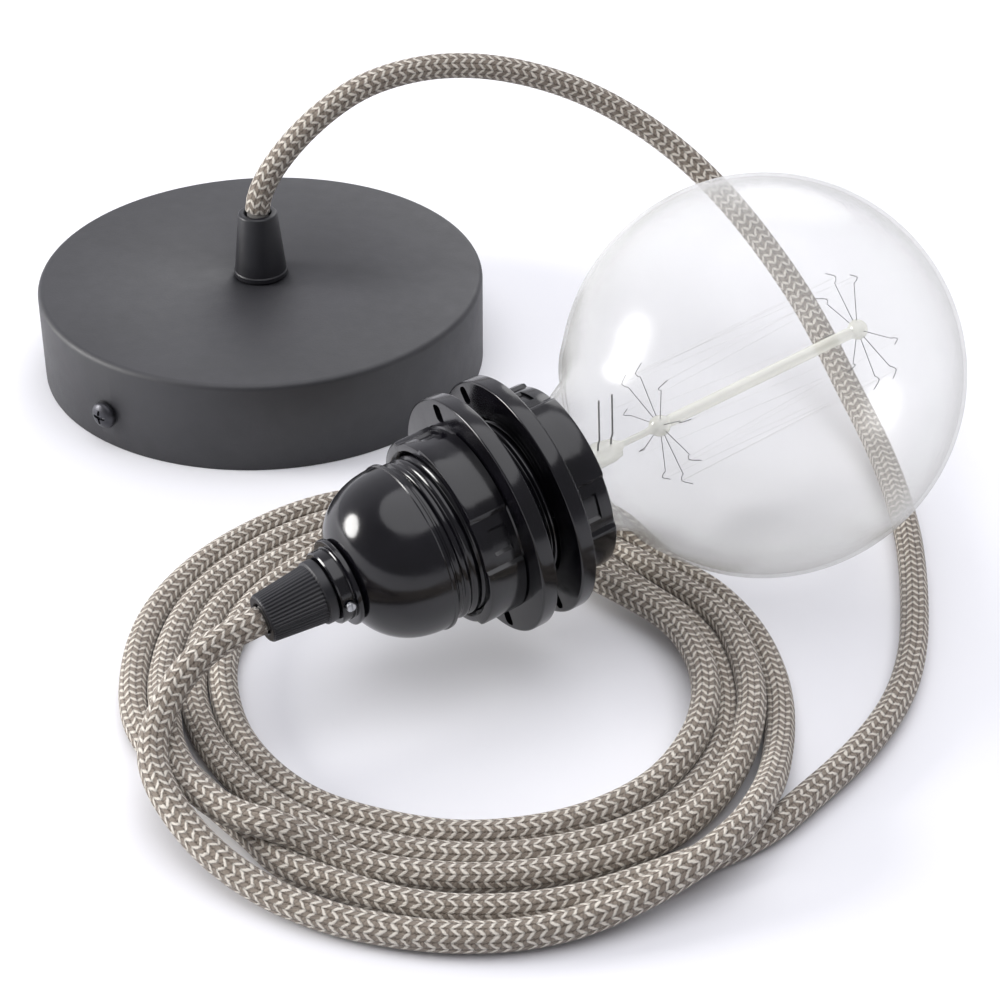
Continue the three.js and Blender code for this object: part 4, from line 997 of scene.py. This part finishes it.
@dataclass
class Lampholder:
    """The moulded lampholder along its own line, with Z from the cord to the bulb."""

    cap_radius: float = 19.7
    cap_end: float = 17.6
    cap_length: float = 19.0
    cap_power: float = 2.35
    cap_wall: float = 1.6
    neck: float = 8.5
    neck_start: float = -4.8
    disc: float = 10.2
    disc_back: float = -1.7
    disc_front: float = -0.5
    crest: float = 19.0
    root: float = 18.15
    pitch: float = 2.3
    skirt_end: float = 56.6
    skirt_bore: float = 16.3
    grip_start: float = -20.4
    grip_tip: float = 5.6
    grip_spread: float = 1.3
    rib_end: float = -7.4
    rib_depth: float = 0.34
    ribs: int = 44
    screw_place: float = -3.2
    rear_ring_place: float = 37.6
    rear_ring_turns: tuple[float, float] = (38.0, 111.0)
    front_ring_place: float = 43.8
    front_ring_turns: tuple[float, float] = (93.0, 54.0)

    def build(self, place: Matrix) -> None:
        """Makes the lampholder's pieces.

        Args:
            place: from the head's millimetres to the part's metres.
        """
        parts = {
            "grip": (self.grip(), Finish.GRIP, "holder_cord_grip", 40.0),
            "cap": (self.cap(), Finish.HOLDER, "holder_cap", 32.0),
            "neck_screw": (self.neck_screw(), Finish.STEEL, "cap_lock_screw", 32.0),
            "skirt": (self.skirt(), Finish.HOLDER, "holder_skirt", 50.0),
        }
        for name, (form, finish, node, crease) in parts.items():
            declare(form.piece("lampholder_" + name, place, finish, crease), Body.SET, finish, node)
        flipped = Matrix.Translation((0, 0, self.rear_ring_place)) @ Matrix.Rotation(math.pi, 4, "Y")
        rear = RingNut().form(*self.rear_ring_turns).moved(flipped)
        rear_piece = rear.piece("shade_ring_rear", place, Finish.HOLDER)
        declare(rear_piece, Body.REAR_RING, Finish.HOLDER, "ring_nut_rear")
        upright = Matrix.Translation((0, 0, self.front_ring_place))
        front = RingNut().form(*self.front_ring_turns).moved(upright)
        front_piece = front.piece("shade_ring_front", place, Finish.HOLDER)
        declare(front_piece, Body.FRONT_RING, Finish.HOLDER, "ring_nut_front")

    def grip(self) -> Form:
        """The ribbed cord grip and its plain collar."""
        start, end, bore, steps = self.grip_start, self.rib_end, 3.6, 24
        outline = [(bore, start + 0.3), (bore + 0.3, start), (5.2, start), (5.5, start + 0.3)]
        for i in range(steps + 1):
            along = start + 0.5 + (end - start - 0.7) * i / steps
            outline.append((self.grip_tip + self.grip_spread * i / steps, along))
        outline += [(7.2, end), (7.4, end + 0.2), (7.4, -5.3), (7.2, -5.1)]
        outline += [(6.2, -5.1), (6.2, 3.6), (bore, 3.6)]
        form = Form().turned(outline, self.ribs * 8, ring=True)

        def ribbed(radius: float, angle: float, height: float) -> float:
            """Cuts the valleys between the ribs."""
            if radius < 5.3 or not start + 0.4 < height < end - 0.15:
                return radius
            wave = 0.5 - 0.5 * math.cos(math.radians(angle * self.ribs))
            return radius - self.rib_depth * (1 - wave**0.6)

        return form.reshaped(ribbed)

    def cap(self) -> Form:
        """The domed cap with its neck and disc."""
        start, back, front = self.neck_start, self.disc_back, self.disc_front
        outline = [(6.5, start), (self.neck - 0.3, start), (self.neck, start + 0.3)]
        outline += [(self.neck, back - 0.2), (self.neck + 0.2, back), (self.disc - 0.3, back)]
        outline += [(self.disc - 0.08, back + 0.08), (self.disc, back + 0.3), (self.disc, front - 0.3)]
        outline += [(self.disc - 0.08, front - 0.08), (self.disc - 0.3, front)]
        outline += self.dome(self.cap_radius, self.cap_length, front, 16.2, 32)
        outline += [(self.cap_radius, 16.4), (self.cap_radius + 0.28, 16.6), (self.cap_radius + 0.28, 17.3)]
        outline += [(self.cap_radius, self.cap_end), (self.cap_radius - 1.4, self.cap_end)]
        bore, depth = self.cap_radius - self.cap_wall, self.cap_length - self.cap_wall
        outline += self.dome(bore, depth, 1.8, 17.5, 16)[::-1]
        hole = Form().turned([(0, 5), (1.05, 5), (1.05, 9.5), (0, 9.5)], 20).moved(self._at_screw())
        return Form().turned(outline, 144, ring=True).carved(hole)

    def dome(self, radius: float, length: float, start: float, stop: float, steps: int) -> Outline:
        """Points of the cap's blunt dome between two heights.

        Args:
            radius: the dome's widest radius, at the cap's open end.
            length: how far its pole lies from that end.
            start: the first height.
            stop: the last height.
            steps: how many pieces it has.

        Returns:
            The points as radius and height.
        """
        share = 2.0 / self.cap_power
        first, last = (math.acos(((self.cap_end - z) / length) ** (1 / share)) for z in (start, stop))
        angles = [first + (last - first) * i / steps for i in range(steps + 1)]
        return [(radius * math.sin(a) ** share, self.cap_end - length * math.cos(a) ** share) for a in angles]

    def _at_screw(self) -> Matrix:
        """From a shape along Z to the neck screw's place, on the side that faces the viewer."""
        about = Matrix.Rotation(math.pi, 4, "Z")
        return about @ Matrix.Translation((0, 0, self.screw_place)) @ Matrix.Rotation(math.pi / 2, 4, "Y")

    def neck_screw(self) -> Form:
        """The small slotted screw that locks the cord grip."""
        outline = [(0, 6.5), (0.8, 6.5), (0.8, 8.8), (1.15, 8.8), (1.15, 9.35)]
        outline += arc((0.85, 9.35), (0.3, 0.35), 0, 90, 4) + [(0, 9.7)]
        slot = Form().block((0.36, 4.0, 1.0), (0, 0, 9.85))
        return Form().turned(outline, 32).carved(slot).moved(self._at_screw())

    def skirt(self) -> Form:
        """The threaded skirt, with its spigot in the cap and the ledge that holds the insert."""
        first, last, end = 18.5, self.skirt_end - 0.9, self.skirt_end
        outline = [(self.skirt_bore, 14.4), (17.2, 14.4), (17.2, 17.9), (self.root, 17.9), (self.root, first)]
        outline += [(self.crest, z) for z in np.arange(first + 0.1, last, self.pitch / 9)]
        outline += [(self.root + 0.3, last), (self.root + 0.2, end - 0.3), (self.root - 0.1, end)]
        outline += [(self.skirt_bore + 0.3, end), (self.skirt_bore, end - 0.3)]
        outline += [(self.skirt_bore, 22.0), (15.4, 22.0), (15.4, 20.4), (self.skirt_bore, 20.4)]

        def threaded(radius: float, angle: float, height: float) -> float:
            """Gives the points of the crest line the thread's shape, one pitch a turn."""
            if radius < self.crest - 0.01:
                return radius
            phase = (height / self.pitch - angle / 360.0) % 1.0
            tooth = min(1.0, max(0.0, 1.55 - 3.1 * abs(phase - 0.5)))
            runout = min(1.0, (height - first) / 1.2, (last - height) / 1.2)
            return self.root + (self.crest - self.root) * (tooth**0.8) * max(runout, 0.0)

        return Form().turned(outline, 120, ring=True).reshaped(threaded)


# Bulb


@dataclass
class Bulb:
    """The clear globe bulb along the head's line."""

    radius: float = 47.5
    centre: float = 113.9
    glass: float = 0.8
    neck: float = 11.6
    rim: float = 50.6
    lower_hub: float = 84.6
    upper_hub: float = 142.4
    hook_reach: float = 15.4
    crook: float = 1.7
    hook_wire: float = 0.1
    lead_places: tuple[float, float] = (71.0, 67.4)
    lead_wire: float = 0.22
    thread: float = 0.025
    lower_hooks: int = 9
    upper_hooks: int = 8

    def build(self, place: Matrix) -> None:
        """Makes the bulb's pieces.

        Args:
            place: from the head's millimetres to the part's metres.
        """
        globe = self.envelope().piece("bulb_globe", place, Finish.GLASS, 70)
        declare(globe, Body.SET, Finish.GLASS, "bulb_envelope")
        mount = self.stem().piece("bulb_mount", place, Finish.STEM_GLASS, 50)
        declare(mount, Body.SET, Finish.STEM_GLASS, "bulb_stem")
        hubs = {
            "lower": (self.lower_hub, 1, self.lower_hooks),
            "upper": (self.upper_hub, -1, self.upper_hooks),
        }
        for which, (hub, facing, count) in hubs.items():
            runs = [self.hook(hub, facing, self.turn(which, i)) for i in range(count)]
            hooks = wire(f"bulb_hooks_{which}", runs, self.hook_wire, place, Finish.WIRE)
            declare(hooks, Body.SET, Finish.WIRE, *[f"support_wire_{which}_{i + 1}" for i in range(count)])
        runs = [self.lead(spot) for spot in self.lead_places]
        leads = wire("bulb_leads", runs, self.lead_wire, place, Finish.WIRE)
        declare(leads, Body.SET, Finish.WIRE, "lead_wire_1", "lead_wire_2")
        thread = wire("bulb_filament", [self.filament()], self.thread, place, Finish.FILAMENT)
        declare(thread, Body.SET, Finish.FILAMENT, "filament")

    def envelope(self) -> Form:
        """The glass wall, open at the neck inside the lamp cap."""
        rim = self.rim
        outline = [(self.neck, rim - 14), (self.neck, rim - 0.6)]
        knots = [(0.1, 0.0), (0.5, 0.8), (1.7, 3.2), (3.4, 7.2), (5.4, 13.0), (8.0, 18.2)]
        knots += [(12.0, 22.8), (16.9, 24.9)]
        outline += [(self.neck + r, rim + z) for r, z in knots]
        joint = math.degrees(math.asin((self.centre - (rim + 27.4)) / self.radius))
        outline += arc((0, self.centre), (self.radius, self.radius), -joint, 90, 72)
        outer = outline[:-1] + [(0.0, self.centre + self.radius)]
        inner = self._inset(outer)
        return Form().turned(inner[::-1] + outer, 128)

    def _inset(self, outline: Outline) -> Outline:
        """The outline moved in by the glass's thickness."""
        inner = []
        for i, (r, z) in enumerate(outline):
            before, after = outline[max(i - 1, 0)], outline[min(i + 1, len(outline) - 1)]
            dr, dz = after[0] - before[0], after[1] - before[1]
            length = math.hypot(dr, dz)
            inner.append((max(0.0, r - self.glass * dz / length), z + self.glass * dr / length))
        inner[0] = (inner[0][0], outline[0][1])
        inner[-1] = (0.0, outline[-1][1] - self.glass)
        return inner

    def stem(self) -> Form:
        """Flared tube, pinch, rod and hubs, drawn down in one line of glass."""
        foot, wide, w = self.rim - 13.0, self.neck - 1.1, 0.9
        tube = [(0, 56.0), (2.6, 55.0), (3.3, 53.5), (3.5, foot + 9), (4.2, foot + 6), (5.6, foot + 4)]
        tube += [(wide - w, foot), (wide, foot), (5.6 + w, foot + 4.6), (4.2 + w, foot + 6.6)]
        tube += [(3.5 + w, foot + 9.4), (3.9 + w, 58.5)]
        pinch = [(4.2, 61.5), (4.2, 69.5), (3.2, 72.2), (1.5, 73.2)]
        rod = [(0.8, 74.2), (0.8, self.lower_hub - 3.2)]
        rod += arc((0.6, self.lower_hub), (1.9, 2.4), -70, 70, 8)
        rod += [(1.45, self.lower_hub + 3.2), (1.45, self.upper_hub - 3.2)]
        rod += arc((0.0, self.upper_hub), (2.5, 2.4), -60, 90, 10)
        rod[-1] = (0.0, self.upper_hub + 2.4)
        form = Form().turned(tube + pinch + rod, 48)
        for vert in form.bm.verts:
            flat = min(1.0, max(0.0, min((vert.co.z - 55.0) / 5.0, (74.5 - vert.co.z) / 3.0)))
            if math.hypot(vert.co.x, vert.co.y) > 1.0 and vert.co.z > 55.0:
                vert.co.y *= 1 - 0.6 * flat
        return form

    def turn(self, which: str, number: int) -> float:
        """The turn of one hook in degrees."""
        return 104.0 - 40.0 * number if which == "lower" else 84.0 - 40.0 * number

    def at(self, reach: float, turn: float, place: float) -> tuple[float, float, float]:
        """A point at a reach from the line, at a turn about it and a place along it."""
        return reach * math.cos(math.radians(turn)), reach * math.sin(math.radians(turn)), place

    def hook(self, hub: float, facing: int, turn: float) -> list[Point]:
        """A wire that stands out from a hub and ends in an open crook."""
        far = self.hook_reach
        shape = [(1.6, 0.0), (far - 3.0, -0.5), (far - 2.5, -1.2), (far - 1.7, -1.5)]
        shape += [(far - 1.1, -0.9), (far, 0.7)]
        return [self.at(reach, turn + i * 0.4, hub + facing * rise) for i, (reach, rise) in enumerate(shape)]

    def lead(self, place: float) -> list[Point]:
        """A lead wire from the pinch to its end of the filament."""
        return [self.at(r, 98.0, place + rise) for r, rise in ((1.4, 0), (3.4, 0.1), (4.6, 0.5), (16.6, 0.6))]

    def filament(self) -> list[Point]:
        """The filament, up and down between the hooks."""
        points = [self.at(15.4, 108.0, 69.0)]
        for i in range(self.lower_hooks):
            points += self.looped(self.turn("lower", i), self.lower_hub - self.crook, -0.4)
            if i < self.upper_hooks:
                points += self.looped(self.turn("upper", i), self.upper_hub + self.crook, 0.4)
        last = self.turn("lower", self.lower_hooks - 1)
        return points + [self.at(self.hook_reach - self.crook, last - 6, 80.0)]

    def looped(self, turn: float, place: float, rise: float) -> list[Point]:
        """The filament's three points round one hook."""
        reach, steps = self.hook_reach - self.crook, ((2.6, 0.0), (0.0, rise), (-2.6, 0.0))
        return [self.at(reach, turn + side, place + up) for side, up in steps]


# Pieces of the CAD that stay as they are


KEPT = {
    Finish.SHEATH: ("cup_cord_tail", "holder_cord_tail"),
    Finish.ZINC: ("ceiling_bracket", *[f"terminal_screw_{i}" for i in range(1, 7)]),
    Finish.BLOCK: ("terminal_block",),
    Finish.BROWN: ("cup_wire_live", "holder_wire_live"),
    Finish.GREEN: ("cup_wire_earth",),
    Finish.BLUE: ("cup_wire_neutral", "holder_wire_neutral"),
    Finish.CERAMIC: ("holder_insert",),
    Finish.BRASS: ("centre_contact", "side_contact", "holder_terminal_screw_1", "holder_terminal_screw_2"),
    Finish.LAMP_CAP: ("bulb_cap_shell", "bulb_end_contact"),
    Finish.BEAD_GLASS: ("bulb_cap_insulator",),
    Finish.GRIP: ("cup_grip_nut",),
}


def dress_kept(nodes: dict[str, bpy.types.Object]) -> None:
    """Gives the CAD nodes that stay their finishes.

    Args:
        nodes: the frame's nodes by name.
    """
    for finish, names in KEPT.items():
        for name in names:
            for slot in nodes[name].material_slots:
                slot.material = finish.material()


# Studio


@dataclass
class Studio:
    """Camera, table and soft lights."""

    eye: tuple[float, float, float] = (64.7, -599.4, 346.4)
    pitch: float = 33.38
    lens: float = 90.0

    def camera(self, place: Matrix) -> None:
        """Stands the camera where the photograph was taken from."""
        data = bpy.data.cameras.new("camera")
        data.lens, data.sensor_width, data.clip_start, data.clip_end = self.lens, 36.0, 0.01, 30.0
        obj = bpy.data.objects.new("camera", data)
        obj.location = place @ Vector(self.eye)
        obj.rotation_euler = (math.radians(90.0 - self.pitch), 0.0, 0.0)
        bpy.context.scene.collection.objects.link(obj)
        bpy.context.scene.camera = obj

    def table(self) -> None:
        """Lays the table top."""
        form = Form()
        bmesh.ops.create_grid(form.bm, x_segments=8, y_segments=8, size=4000.0)
        obj = form.piece("table", Matrix.Scale(MM, 4), Finish.TABLE)

    def light(self, name: str, spot: Point, aim: Point, size: float, power: float, colour: Colour) -> None:
        """Hangs one soft light.

        Args:
            name: the light's name.
            spot: where it hangs, in metres.
            aim: what it points at.
            size: its width in metres.
            power: its power in watts.
            colour: its colour.
        """
        data = bpy.data.lights.new(name, "AREA")
        data.shape, data.size, data.energy, data.color = "DISK", size, power, colour
        obj = bpy.data.objects.new(name, data)
        obj.location = spot
        obj.rotation_euler = (Vector(aim) - Vector(spot)).to_track_quat("-Z", "Y").to_euler()
        bpy.context.scene.collection.objects.link(obj)

    def room(self) -> None:
        """A grey room: bright low down behind the set, dark overhead and behind the viewer."""
        world = bpy.data.worlds.new("studio")
        world.use_nodes = True
        nodes, links = world.node_tree.nodes, world.node_tree.links
        sky = nodes["Background"]
        parts = nodes.new("ShaderNodeSeparateXYZ")
        links.new(nodes.new("ShaderNodeTexCoord").outputs["Generated"], parts.inputs[0])
        ramp = nodes.new("ShaderNodeMapRange")
        ramp.interpolation_type = "SMOOTHSTEP"
        for key, value in {"From Min": -0.5, "From Max": 1.0, "To Min": 0.3, "To Max": 0.85}.items():
            ramp.inputs[key].default_value = value
        links.new(parts.outputs["Y"], ramp.inputs["Value"])
        links.new(ramp.outputs[0], sky.inputs["Strength"])
        sky.inputs["Color"].default_value = (0.93, 0.93, 1.0, 1.0)
        bpy.context.scene.world = world

    def lights(self) -> None:
        """Lights the table softly, most of it from a window on the left."""
        self.room()
        self.light("window", (-1.3, 0.05, 0.4), (0.0, 0.0, 0.02), 0.6, 18.0, (1.0, 0.99, 0.97))
        self.light("back", (0.35, 1.3, 0.95), (0.0, 0.0, 0.0), 1.1, 7.0, (1.0, 1.0, 1.0))
        self.light("top", (0.1, -0.2, 1.7), (0.0, -0.05, 0.0), 2.2, 22.0, (0.97, 0.97, 1.0))
        bpy.context.scene.view_settings.view_transform = "Standard"


def main() -> None:
    """Builds the whole set."""
    logging.basicConfig(level=logging.INFO, format="%(name)s %(message)s")
    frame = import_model()
    cup, head = cup_place(), HeadLine().place()
    studio = Studio()
    studio.camera(cup)
    Cord().build(cup)
    CeilingCup().build(cup)
    Lampholder().build(head)
    Bulb().build(head)
    dress_kept(frame["nodes"])
    studio.table()
    studio.lights()


if __name__ == "__main__":
    main()
